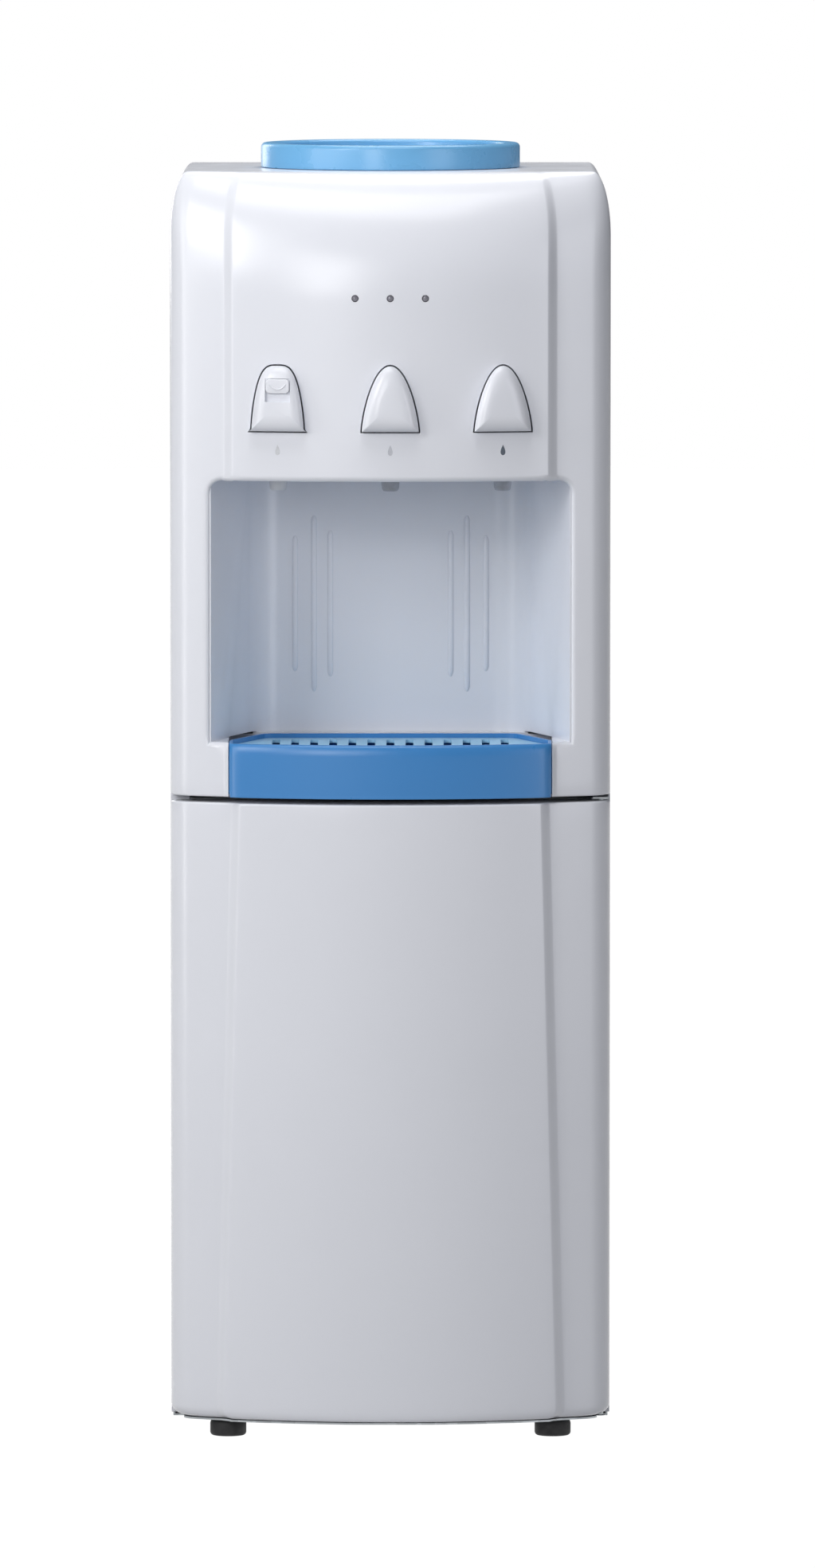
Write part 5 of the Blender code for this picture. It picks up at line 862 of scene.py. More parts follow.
def make_recess(look):
    """The niche with its large fillets and its pairs of soft flutes, and the pocket under its floor."""
    side = TRAY_HALF_WIDTH + 0.5 * MM + GAP
    floor = COVER_BOTTOM + GAP
    back = TRAY_BACK_Y + 3 * MM
    liner = prism(niche_outline(-LINER_SKIN), RECESS_BOTTOM - LINER_SKIN, CEILING - GAP)
    pocket = box((-side - LINER_SKIN, -200 * MM, floor), (side + LINER_SKIN, back + LINER_SKIN, RECESS_BOTTOM - 1 * MM))
    liner = carve(liner, pocket, operation="UNION")
    niche = prism(niche_outline(0), RECESS_BOTTOM, CEILING + PAST)
    space = box((-side, -300 * MM, floor + LINER_SKIN), (side, back, RECESS_BOTTOM + 1 * MM))
    liner = carve(liner, niche, space)
    flutes = []
    for x, length in FLUTES:
        low = FLUTE_MIDDLE - length / 2
        profile = [(0, 0), (look.flute * 0.6, 1.2 * MM), (look.flute, 4 * MM), (look.flute, length - 4 * MM),
                   (look.flute * 0.6, length - 1.2 * MM), (0, length)]
        flutes += [turned(profile, (place, RECESS_BACK_Y + 0.5 * MM, low), 24) for place in (-x, x)]
    liner = carve(liner, *flutes, operation="UNION")
    limit = cover_skin(WALL + GAP, COVER_BOTTOM, 100 * MM)
    liner = carve(liner, limit, operation="INTERSECT")
    piece("recess", liner, finish("shell"), "housing", ["recess_liner"])
    dress(["recess_ceiling"], "shell", 0.3 * MM)


def button_dome(x, squarer):
    """A pillow-like push button: steep sides that roll over into a crowned face."""
    outline = dense(button_outline(0, squarer), 1.6 * MM)
    heart = BUTTON_HEIGHT * BUTTON_HEART
    face = front_y(x, COVER_CREASE)
    slope = x / PANEL_RADIUS
    crown = math.radians(BUTTON_CROWN)
    lowest = heart * (1 - math.cos(crown) ** BUTTON_FULLNESS)
    back = face - BUTTON_PROUD + BUTTON_DEPTH
    rings = [[(x + u, back + slope * u, BUTTON_BOTTOM + v) for u, v in outline]]
    for k in range(19):
        a = crown * k / 18
        share = math.cos(a) ** BUTTON_FULLNESS
        rise = (math.sin(a) / math.sin(crown)) ** 0.8
        ring = []
        for u, v in outline:
            w, h = u * share, heart + (v - heart) * share
            thin = BUTTON_THINNING * (max(0.0, h - lowest) / BUTTON_HEIGHT) ** 1.6
            proud = (BUTTON_SKIRT + (BUTTON_PROUD - BUTTON_SKIRT) * rise) * (1 - thin)
            ring.append((x + w, face - proud + slope * w, BUTTON_BOTTOM + h))
        rings.append(ring)
    return lofted(rings)


def leaned(mesh, x):
    """A mesh made square to the room, leaned to follow the front at the side of the middle."""
    for vertex in mesh.vertices:
        vertex.co.y += x / PANEL_RADIUS * (vertex.co.x - x)
    return mesh


def make_buttons(look):
    """Three push buttons with their plungers, and a printed drop under each."""
    inks = {"hot": "pale_ink", "ambient": "mid_ink", "cold": "dark_ink"}
    for name, (x, squarer) in TAPS.items():
        face = front_y(x, COVER_CREASE)
        mesh = button_dome(x, squarer)
        if squarer:
            mesh = carve(mesh, lock_channel(x, face))
        piece(f"{name}_push", mesh, finish("shell"), f"{name}_button", [f"{name}_button"], 50)
        start = face - BUTTON_PROUD + BUTTON_DEPTH + 1.3 * MM
        plunger = rod((x, start, PLUNGER_Z), (x, start + 20 * MM, PLUNGER_Z), 2.5 * MM, 32, 0.5 * MM)
        piece(f"{name}_pin", plunger, finish("grille"), f"{name}_plunger", [f"{name}_plunger"])
        mark = drop_mark(x, BUTTON_BOTTOM - 14 * MM, look.mark)
        piece(f"{name}_mark", mark, finish(inks[name]), "housing")


def lock_channel(x, face):
    """The space in the hot button's face that the child lock slides in."""
    half, tall = LOCK_HALF_WIDTH + LOCK_CLEARANCE, LOCK_HALF_HEIGHT + LOCK_CLEARANCE
    floor = face - BUTTON_PROUD + LOCK_POCKET
    channel = box((x - half, floor - 12 * MM, LOCK_Z - tall - LOCK_TRAVEL), (x + half, floor, LOCK_Z + tall))
    return leaned(channel, x)


def make_lock(look):
    """The slide of the child lock: a thumb pad with a raised crescent, seated in its channel."""
    x = TAPS["hot"][0]
    floor = front_y(x, COVER_CREASE) - BUTTON_PROUD + LOCK_POCKET - GAP
    half, tall, thick = LOCK_HALF_WIDTH, LOCK_HALF_HEIGHT, LOCK_THICKNESS
    corner = 3 * MM
    outline = rounded_outline([(-half, -tall, corner), (half, -tall, corner), (half, tall, corner),
                               (-half, tall, corner)], 8)
    rings = [[(x + u, floor, LOCK_Z + v) for u, v in outline]]
    for a in sweep(7):
        share = 1 - 0.12 * (1 - math.cos(a))
        depth = (thick - look.crescent) * (0.5 + 0.5 * math.sin(a))
        rings.append([(x + u * share, floor - depth, LOCK_Z + v * share) for u, v in outline])
    top = floor - thick + look.crescent
    smile = []
    for k in range(17):
        u = -half * 0.66 + half * 1.32 * k / 16
        smile.append((x + u, top, LOCK_Z - tall * 0.45 + tall * 0.7 * (u / (half * 0.66)) ** 2))
    ridge = tube(smile, look.crescent, 4)
    pad = leaned(joined([lofted(rings), ridge]), x)
    piece("lock_slide", pad, finish("shell"), "child_lock", ["child_lock_slide"])


def drop_mark(x, z, size):
    """A water drop, printed on the cover."""
    outline = []
    for k in range(40):
        a = math.tau * k / 40
        outline.append((0.62 * size * math.sin(a) * math.sin(a / 2) ** 1.3, size * math.cos(a)))
    front = [(x + u, front_y(x + u, COVER_CREASE) - 0.06 * MM, z + v) for u, v in outline]
    rear = [(px, py + 0.1 * MM, pz) for px, py, pz in front]
    return lofted([rear, front])


def make_taps():
    """Valve bodies behind the cover, each with its nozzle down through the recess's ceiling."""
    bottom = CEILING + LINER_SKIN + GAP
    tip, r = NOZZLE_TIP, NOZZLE_RADIUS
    for name, (x, squarer) in TAPS.items():
        face = front_y(x, COVER_CREASE)
        y = face + TAP_SET_BACK
        body = rounded(box((x - 12 * MM, face + 20 * MM, bottom), (x + 12 * MM, y + 12 * MM, TAP_TOP)), 1.5 * MM)
        spout = [(0, bottom + 4 * MM), (r, bottom + 4 * MM), (r, tip + 7 * MM), (r - 0.6 * MM, tip + 2 * MM),
                 (r - 1.5 * MM, tip + 0.4 * MM), (r - 2.2 * MM, tip), (r - 2.8 * MM, tip + 0.6 * MM),
                 (r - 2.8 * MM, tip + 12 * MM), (0, tip + 12 * MM)]
        inlet = rod((x, y, TAP_TOP - 2 * MM), (x, y, TAP_TOP + 6 * MM), 4.5 * MM, 32)
        guide = rod((x, face + 10 * MM, PLUNGER_Z), (x, face + 34 * MM, PLUNGER_Z), 2.85 * MM, 32)
        mesh = carve(body, turned(spout, (x, y, 0), 48), inlet, operation="UNION")
        mesh = carve(mesh, guide)
        look_of_valve = finish("lining" if squarer else "grey_rubber")
        piece(f"{name}_valve", mesh, look_of_valve, "housing", [f"{name}_tap"])


def make_lights():
    """Three lens tips on one light guide, slightly domed where they come through the cover."""
    front = -166 * MM
    bar = box((-32 * MM, front, LIGHT_Z - 4 * MM), (32 * MM, front + 3.5 * MM, LIGHT_Z + 4 * MM))
    parts = [rounded(bar, 0.5 * MM)]
    r = LIGHT_RADIUS
    for x in LIGHTS:
        tip = front_y(x, COVER_CREASE) + 0.2 * MM
        length = front + 1 * MM - tip
        profile = [(0, -0.5 * MM), (r * 0.5, -0.4 * MM), (r * 0.85, -0.1 * MM), (r, 0.4 * MM), (r, length), (0, length)]
        parts.append(aimed(turned(profile, steps=32), (x, tip, LIGHT_Z), (0, 1, 0)))
    piece("light_lenses", joined(parts), finish("lens"), "housing", ["light_guide"])
    dress(["light_board"], "board", 0.2 * MM)


# Tray and door

def tray_plan(inset, front_inset, border=0.0):
    """Plan of the drip tray: its front continues the raised panel, and its sides draw in to the back.
    A border rounds the front's ends back."""
    half = TRAY_HALF_WIDTH - inset
    back_half = TRAY_BACK_HALF_WIDTH - inset
    back = TRAY_BACK_Y - inset
    radius = 12 * MM - inset * 0.8
    front = []
    count = 56
    for i in range(count + 1):
        x = -half * math.cos(math.pi * i / count)
        drop = TRAY_SIDE_DROP * fillet((abs(x) - (TRAY_HALF_WIDTH - border)) / border) if border else 0.0
        front.append((x, front_y(x, 1.0) + front_inset + drop))
    rear = rounded_outline([(half, TRAY_KNEE_Y, 0), (back_half, back, radius), (-back_half, back, radius),
                            (-half, TRAY_KNEE_Y, 0)])
    return front + rear


def make_tray(look):
    """The sliding tray: a front with rounded borders, a rim that carries the grille, and a deep well."""
    bottom = COVER_BOTTOM + 0.2 * MM
    base = COVER_BOTTOM + GAP + LINER_SKIN + GAP
    border = look.tray_border
    heights = [bottom, bottom + 1.5 * MM]
    heights += [TRAY_TOP - border + border * math.sin(a) for a in sweep(12)]
    rings = []
    for z in heights:
        drop = TRAY_TOP_DROP * fillet((z - (TRAY_TOP - border)) / border)
        rings.append([(x, y, z) for x, y in tray_plan(0, drop, border)])
    rim = prism(tray_plan(TRAY_WALL, 6 * MM), GRILLE_LEDGE, TRAY_TOP + PAST)
    well = prism(tray_plan(TRAY_WALL * 2, 8.5 * MM), base + TRAY_WALL, GRILLE_LEDGE + 1 * MM)
    under = prism(tray_plan(-10 * MM, TRAY_WALL), bottom - PAST, base)
    body = carve(lofted(rings), rim, well, under)
    piece("tray_body", body, finish("tray"), "tray", ["drip_tray"])


def make_grille(look):
    """The tray's lift-out grille, with a row of slots from front to back."""
    low = GRILLE_LEDGE + GAP
    plate = rounded(prism(tray_plan(TRAY_WALL + 0.5 * MM, 6.5 * MM), low, low + GRILLE), look.grille_edge, 2)
    slots = []
    for i in range(-6, 7):
        x = i * GRILLE_PITCH
        slot = rounded_outline([(x - 3 * MM, -128 * MM, 2.9 * MM), (x + 3 * MM, -128 * MM, 2.9 * MM),
                                (x + 3 * MM, -62 * MM, 2.9 * MM), (x - 3 * MM, -62 * MM, 2.9 * MM)], 6)
        slots.append(prism(slot, low - PAST, low + PAST))
    plate = carve(plate, joined(slots))
    piece("grille_plate", plate, finish("grille"), "grille", ["drip_grille"])


def door_skin(inset, back=None, edge=0.0):
    """The door's front, with rounded bottom corners and its crease drawn in towards the top."""
    bottom, top = DOOR_BOTTOM + inset, DOOR_TOP - inset
    rings = []
    for a in sweep(6):
        short = 1 - math.sin(a)
        rings.append((bottom + DOOR_CORNER * (1 - math.cos(a)), DOOR_CORNER * short, edge * short))
    start = bottom + DOOR_CORNER
    stop = top - edge
    rings += [(start + (stop - start) * k / 36, 0.0, 0.0) for k in range(1, 37)]
    for a in sweep(6)[1:] if edge else ():
        rings.append((stop + edge * math.sin(a), 0.0, edge * (1 - math.cos(a))))
    solid = []
    for z, narrow, pull in rings:
        share = (z - DOOR_BOTTOM) / (DOOR_TOP - DOOR_BOTTOM)
        crease = DOOR_CREASE_BOTTOM + (DOOR_CREASE_TOP - DOOR_CREASE_BOTTOM) * share
        keep = 1 - narrow / HALF_WIDTH
        solid.append([(x * keep, y, z) for x, y in plan(crease, DOOR_REAR_Y, inset + pull, back)])
    return lofted(solid)


def make_door(look):
    """The door's outer shell, with a boss and bore for the hinge pin at each end."""
    shell = carve(door_skin(0, edge=look.door_edge), door_skin(WALL, DOOR_REAR_Y + PAST))
    reach = PIN_LENGTH + 4 * MM
    spans = ((DOOR_TOP - reach, DOOR_TOP - 1 * MM), (DOOR_BOTTOM + 2.2 * MM, DOOR_BOTTOM + reach))
    bosses = [rod((HINGE_X, HINGE_Y, low), (HINGE_X, HINGE_Y, high), 3.8 * MM) for low, high in spans]
    shell = carve(shell, *bosses, operation="UNION")
    depth = PIN_LENGTH + 1 * MM
    spans = ((DOOR_TOP - depth, DOOR_TOP + 2 * MM), (DOOR_BOTTOM - 2 * MM, DOOR_BOTTOM + depth))
    bores = [rod((HINGE_X, HINGE_Y, low), (HINGE_X, HINGE_Y, high), 2.9 * MM) for low, high in spans]
    piece("door_front", carve(shell, *bores), finish("shell"), "door", ["door_outer_shell"])
    dress(["door_inner_panel"], "lining", 0.6 * MM)


def make_seal():
    """Magnetic door gasket: a soft hollow bead with a flat foot, mitred at its corners."""
    low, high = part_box("door_gasket")
    foot, crest = low[1] + 0.2 * MM, high[1]
    section = [(0.0, foot), (0.0, foot + 2 * MM), (0.6 * MM, crest - 0.9 * MM), (1.6 * MM, crest - 0.2 * MM),
               (2.5 * MM, crest), (3.4 * MM, crest - 0.2 * MM), (4.4 * MM, crest - 0.9 * MM), (5 * MM, foot + 2 * MM),
               (5 * MM, foot)]
    bm = bmesh.new()
    corners = [(low[0], low[2], 1, 1), (high[0], low[2], -1, 1), (high[0], high[2], -1, -1), (low[0], high[2], 1, -1)]
    loops = [[bm.verts.new((x + sx * d, y, z + sz * d)) for d, y in section] for x, z, sx, sz in corners]
    for i in range(4):
        this, other = loops[i], loops[(i + 1) % 4]
        for j in range(len(section)):
            k = (j + 1) % len(section)
            bm.faces.new((this[j], other[j], other[k], this[k]))
    piece("door_seal", mesh_of(bm), finish("grey_rubber"), "door", ["door_gasket"])


# Top and bottle seat

def arch(inset, bottom):
    """Outline of the deck from the front, with its rounded shoulders."""
    half = HALF_WIDTH - inset
    left = [(-half, bottom)]
    for a in sweep(22):
        z = DECK - SHOULDER_HEIGHT + (SHOULDER_HEIGHT - inset) * math.sin(a)
        left.append((-half * shoulder(z, inset), z))
    return left + [(-x, z) for x, z in reversed(left)]


def make_top(look):
    """The deck with its bottle well, and its rear edge rounded over."""
    edge = look.deck_edge
    rings = [[(x, SEAM_Y + GAP, z) for x, z in arch(0, TOP_COVER_BOTTOM)]]
    for a in sweep(8):
        pull = edge * (1 - math.cos(a))
        rings.append([(x, REAR_Y - edge + edge * math.sin(a), z) for x, z in arch(pull, TOP_COVER_BOTTOM)])
    hollow = prism(arch(WALL, TOP_COVER_BOTTOM - PAST), SEAM_Y - PAST, REAR_Y + PAST, "Y")
    cover = carve(lofted(rings), hollow)
    rim = rod((0, 0, DECK - 12 * MM), (0, 0, DECK - 1 * MM), WELL_RADIUS + WALL, 128)
    cover = carve(cover, rim, operation="UNION")
    cover = carve(cover, rod((0, 0, DECK - 20 * MM), (0, 0, DECK + PAST), WELL_RADIUS, 128))
    piece("deck", cover, finish("shell"), "housing", ["top_cover"])


def quarter(radius, height, size, first, way):
    """Points of a quarter round in a profile, about a middle point."""
    return [(radius + size * math.cos(math.radians(first + way * 11.25 * k)),
             height + size * math.sin(math.radians(first + way * 11.25 * k))) for k in range(9)]


def make_collar():
    """The blue collar that the bottle stands on, and the funnel inside it."""
    deck = DECK + GAP
    inner = COLLAR_RADIUS - 11.5 * MM
    neck = WELL_RADIUS - 1.5 * MM
    foot = FUNNEL_BOTTOM + 3 * MM
    profile = quarter(COLLAR_RADIUS - 3.5 * MM, COLLAR_TOP - 3.5 * MM, 3.5 * MM, 90, -1)
    profile += [(COLLAR_RADIUS, deck + 0.6 * MM), (COLLAR_RADIUS - 0.6 * MM, deck), (neck + 0.5 * MM, deck),
                (neck, deck - 0.5 * MM), (neck, DECK - 22 * MM), (neck - 4 * MM, DECK - 25 * MM),
                (40 * MM, FUNNEL_BOTTOM), (PROBE_RADIUS + 0.5 * MM, FUNNEL_BOTTOM), (PROBE_RADIUS + 0.5 * MM, foot),
                (41 * MM, foot), (neck - 6 * MM, DECK - 21 * MM), (neck - 3 * MM, DECK - 18 * MM),
                (neck - 3 * MM, COLLAR_TOP - 8 * MM)]
    profile += quarter(inner + 3 * MM, COLLAR_TOP - 3 * MM, 3 * MM, 180, -1)
    mesh = turned(profile, steps=160, closed=True)
    piece("collar", mesh, finish("collar"), "bottle_seat", ["bottle_collar"])


def make_probe():
    """The probe that pierces the bottle's cap, with three feed slots."""
    foot = FUNNEL_BOTTOM + 3 * MM + GAP
    r, top = PROBE_RADIUS, PROBE_TOP
    profile = [(2 * MM, top), (4 * MM, top - 0.4 * MM), (6 * MM, top - 2 * MM), (r - 3.4 * MM, top - 5 * MM),
               (r - 2 * MM, top - 10 * MM), (r - 1 * MM, foot + 4 * MM), (r + 0.5 * MM, foot + 3.3 * MM),
               (16.4 * MM, foot + 3 * MM), (17 * MM, foot + 2.4 * MM), (17 * MM, foot), (r, foot),
               (r, FUNNEL_BOTTOM - 6 * MM), (2 * MM, FUNNEL_BOTTOM - 6 * MM)]
    slot = rounded_outline([(-1.5 * MM, -7 * MM, 1.4 * MM), (1.5 * MM, -7 * MM, 1.4 * MM),
                            (1.5 * MM, 7 * MM, 1.4 * MM), (-1.5 * MM, 7 * MM, 1.4 * MM)], 5)
    cuts = [aimed(prism(slot, 4 * MM, 20 * MM), (0, 0, top - 24 * MM), (math.cos(a), math.sin(a), 0))
            for a in (0.5, 2.6, 4.7)]
    mesh = carve(turned(profile, steps=64, closed=True), *cuts)
    piece("probe", mesh, finish("grille"), "bottle_seat", ["feed_probe"])


# Cabinet, tanks and cooling

def middle_of(name):
    """The middle of a CAD node's box."""
    low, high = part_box(name)
    return [(a + b) / 2 for a, b in zip(low, high)]


def dress(names, use, edge=0.0):
    """Give carried-over CAD nodes their finish, and soften their edges."""
    for name in names:
        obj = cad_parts[name]
        obj.data.materials.clear()
        obj.data.materials.append(finish(use))
        if edge:
            weld = obj.modifiers.new("Weld", "WELD")
            weld.merge_threshold = 0.001 * MM
            mod = obj.modifiers.new("Edge", "BEVEL")
            mod.width = edge
            mod.segments = 2
            mod.limit_method = "ANGLE"
            mod.angle_limit = SHARP_EDGE
            mod.harden_normals = True


def make_feet():
    """Screw-in rubber feet, slightly flared, with a chamfered sole."""
    for name in FEET:
        low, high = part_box(name)
        r, top = (high[0] - low[0]) / 2, high[2]
        profile = [(0, top), (r - 2.4 * MM, top), (r - 1.2 * MM, top - 0.5 * MM), (r - 0.4 * MM, top - 1.6 * MM),
                   (r, top - 3.2 * MM), (r, 2 * MM), (r - 0.5 * MM, 0.8 * MM), (r - 1.5 * MM, 0.0), (r - 3 * MM, 0.0),
                   (r - 3.6 * MM, 0.8 * MM), (0, 0.8 * MM)]
        x, y = middle_of(name)[:2]
        piece(f"{name}_pad", turned(profile, (x, y, 0), 64), finish("rubber"), "housing", [name])


def screw_head(centre, direction, radius):
    """A pan-head screw with a cross recess."""
    height = radius * 0.62
    profile = [(0, height)]
    profile += [(radius * math.cos(math.radians(80 - 10 * k)), height * math.sin(math.radians(80 - 10 * k)))
                for k in range(9)]
    profile.append((0, 0))
    arm, depth, reach = radius * 0.16, radius * 0.3, radius * 0.62
    cross = carve(box((-reach, -arm, depth), (reach, arm, radius)), box((-arm, -reach, depth), (arm, reach, radius)),
                  operation="UNION")
    return aimed(carve(turned(profile, steps=32), cross), centre, direction)


def make_sheet_metal(look):
    """Side panels, base pan, back and mid panel keep their CAD sheet; the back gets its screws."""
    dress(["side_panel_left", "side_panel_right"], "sheet", 0.35 * MM)
    dress(["base_pan", "mid_panel", "back_panel", "tank_shelf"], "zinc", 0.25 * MM)
    dress(["hinge_bracket_upper", "hinge_pin_lower"], "zinc", 0.25 * MM)
    low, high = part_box("back_panel")
    spots = [(side * (high[0] - 6 * MM), low[2] + 8 * MM + (high[2] - low[2] - 60 * MM) * k / 3)
             for side in (-1, 1) for k in range(4)]
    heads = [screw_head((x, high[1], z), (0, 1, 0), look.screw) for x, z in spots]
    piece("back_screws", joined(heads), finish("screw"), "housing")


def make_lining():
    """The lining, shelf and catch inside the cabinet keep their CAD shapes."""
    dress(["cabinet_liner"], "lining", 0.8 * MM)
    dress(["cabinet_shelf"], "grille", 0.4 * MM)
    dress(["door_catch"], "rubber", 0.3 * MM)


def make_tanks():
    """The tanks and their hoses sit behind closed panels and keep their CAD shapes."""
    dress(["cold_tank", "hot_tank"], "stainless")
    dress(["cold_tank_insulation"], "foam", 1.5 * MM)
    dress(["evaporator_coil"], "copper")
    dress(["heater_band"], "zinc", 0.4 * MM)
    dress(["hot_thermostat"], "rubber", 0.6 * MM)
    dress(["hot_tube", "cold_tube", "ambient_tube", "hot_feed_tube", "drain_pipe"], "hose")


def make_compressor():
    """Hermetic compressor: a drawn pot with its weld seam, its base plate and stubs, on rubber mounts."""
    x, y, r = COMPRESSOR_X, COMPRESSOR_Y, COMPRESSOR_RADIUS
    low, top, seam = COMPRESSOR_BASE, COMPRESSOR_TOP, COMPRESSOR_SEAM
    profile = [(0, top)]
    for a in reversed(sweep(14)[:-1]):
        profile.append((r * math.cos(a) ** 0.75, top - 36 * MM + 36 * MM * math.sin(a)))
    profile += [(r, seam + 5 * MM), (r + 1.2 * MM, seam + 4 * MM), (r + 2 * MM, seam + 2 * MM),
                (r + 2 * MM, seam - 2 * MM), (r + 1.2 * MM, seam - 4 * MM), (r, seam - 5 * MM), (r, low + 30 * MM)]
    for a in sweep(10)[1:]:
        profile.append((r * 0.4 + r * 0.6 * math.cos(a), low + 30 * MM - 30 * MM * math.sin(a)))
    profile += [(r * 0.4, low - 2 * MM), (0, low - 2 * MM)]
    plate = rounded_outline([(x + across * BASE_HALF_WIDTH, y + along * BASE_HALF_DEPTH, 12 * MM)
                             for across, along in CORNERS])
    parts = [turned(profile, (x, y, 0), 96), rounded(prism(plate, low - BASE_PLATE, low), 0.8 * MM, 2)]
    parts.append(rod((x + r - 3 * MM, y, SUCTION_Z), (x + r + 10 * MM, y, SUCTION_Z), 3.5 * MM, 32))
    side = x + DISCHARGE_X
    parts.append(rod((side, y + r - 12 * MM, DISCHARGE_Z), (side, y + r + 8 * MM, DISCHARGE_Z), 2.8 * MM, 32))
    piece("compressor_pot", joined(parts), finish("enamel"), "housing", ["compressor"])
    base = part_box("compressor")[0][2]
    profile = [(0, base), (7.4 * MM, base), (8 * MM, base + 0.6 * MM), (8 * MM, 22.6 * MM), (6.6 * MM, 23.4 * MM),
               (6.6 * MM, 27.6 * MM), (8 * MM, 28.4 * MM), (8 * MM, 30.4 * MM), (7.2 * MM, 31 * MM), (0, 31 * MM)]
    mounts = [turned(profile, (x + across * MOUNT_X, y + along * MOUNT_Y, 0), 40) for across, along in CORNERS]
    piece("compressor_mounts", joined(mounts), finish("rubber"), "housing")


def make_drier():
    """The copper filter drier, spun down to a neck at each end, with the pipes that meet it."""
    x, y = middle_of("filter_drier")[:2]
    low, high, cone = DRIER_BOTTOM, DRIER_TOP, 7.6 * MM
    r, inlet, outlet = DRIER_RADIUS, 2.5 * MM, 3 * MM
    profile = [(0, high), (inlet, high), (inlet, high - 7 * MM)]
    for a in reversed(sweep(8)):
        profile.append((inlet + (r - inlet) * math.cos(a), high - 15 * MM + cone * math.sin(a)))
    for a in sweep(8):
        profile.append((outlet + (r - outlet) * math.cos(a), low + 15 * MM - cone * math.sin(a)))
    profile += [(outlet, low), (0, low)]
    piece("drier", turned(profile, (x, y, 0), 48), finish("copper"), "housing", ["filter_drier"])
    dress(["suction_tube", "discharge_tube", "capillary_tube"], "copper")


def make_condenser():
    """A serpentine tube with upright wires welded across its outer side, hung on four lugs."""
    tube_r, wire = CONDENSER_TUBE, CONDENSER_WIRE
    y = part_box("condenser")[1][1] - tube_r - 2 * wire
    half, leg, bottom, pitch, passes = GRID_HALF_WIDTH, GRID_LEG_X, GRID_BOTTOM, GRID_PITCH, GRID_PASSES
    bend = half + 12 * MM
    side = -1
    corners = [(bend, y, 185 * MM), (bend, y, bottom)]
    for i in range(passes):
        z = bottom + pitch * i
        last = i == passes - 1
        corners.append((side * (leg if last else bend), y, z))
        if not last:
            corners.append((side * bend, y, z + pitch))
        side = -side
    dx, dy = middle_of("filter_drier")[:2]
    corners += [(-leg, y, 55 * MM), (dx, REAR_Y + 6 * MM, 55 * MM), (dx, dy, 60 * MM), (dx, dy, DRIER_BOTTOM - GAP)]
    parts = [tube(soft_route(corners, 14 * MM), tube_r)]
    top = bottom + pitch * (passes - 1)
    reach, count = half * 0.94, GRID_WIRES
    for i in range(count):
        x = -reach + 2 * reach * i / (count - 1)
        outer = y + tube_r + wire * 0.6
        parts.append(tube([(x, outer, bottom - 12 * MM), (x, outer, top + 12 * MM)], wire, 3))
    plate_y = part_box("back_panel")[1][1] + GAP
    for z in (bottom, top):
        for x in (-half * 0.8, half * 0.8):
            lug = box((x - 4 * MM, plate_y, z - 1.5 * MM), (x + 4 * MM, y, z + 1.5 * MM))
            parts.append(rounded(lug, 0.5 * MM, 2))
    piece("condenser_grid", joined(parts), finish("enamel"), "housing", ["condenser"])


def make_gland():
    """The ribbed rubber gland where the cord leaves the back."""
    x, _, z = middle_of("cord_gland")
    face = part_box("back_panel")[1][1] + GAP
    profile = [(3.6, -9), (6.0, -9), (6.4, -8.6), (6.4, 0), (9.4, 0), (10, 0.6), (10, 2.2), (9.2, 3), (6.6, 3.2),
               (5.9, 4.4), (6.1, 5.2), (5.6, 6.6), (5.8, 7.4), (5.3, 8.8), (5.4, 9.8), (5.0, 11.6), (4.6, 12),
               (3.6, 12)]
    gland = turned([(r * MM, height * MM) for r, height in profile], steps=48, closed=True)
    piece("gland", aimed(gland, (x, face, z), (0, 1, 0)), finish("rubber"), "housing", ["cord_gland"])


def make_drain_cap():
    """The drain's push-on cap, with finger grips round its rim."""
    low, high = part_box("drain_cap")
    x, _, z = middle_of("drain_cap")
    r, length = (high[0] - low[0]) / 2, high[1] - low[1]
    profile = [(4.9 * MM, length - 5 * MM), (4.9 * MM, 0), (r - 0.6 * MM, 0), (r, 0.6 * MM), (r, length - 1.4 * MM),
               (r - 0.4 * MM, length - 0.4 * MM), (r - 1.4 * MM, length), (0, length), (0, length - 5 * MM)]
    cap = aimed(turned(profile, steps=48, closed=True), (x, low[1], z), (0, 1, 0))
    grips = []
    for k in range(18):
        a = math.tau * k / 18
        u, v = x + (r + 0.25 * MM) * math.cos(a), z + (r + 0.25 * MM) * math.sin(a)
        grips.append(rod((u, low[1] - 1 * MM, v), (u, high[1] - 2 * MM, v), 0.55 * MM, 12))
    piece("cap", carve(cap, joined(grips)), finish("rubber"), "drain_cap", ["drain_cap"])


def make_switches():
    """The rear switch bank and its two rockers keep their CAD shapes."""
    dress(["switch_bank"], "rubber", 0.5 * MM)
    dress(["hot_switch"], "red", 0.4 * MM)
    dress(["cold_switch"], "green", 0.4 * MM)


# Stage

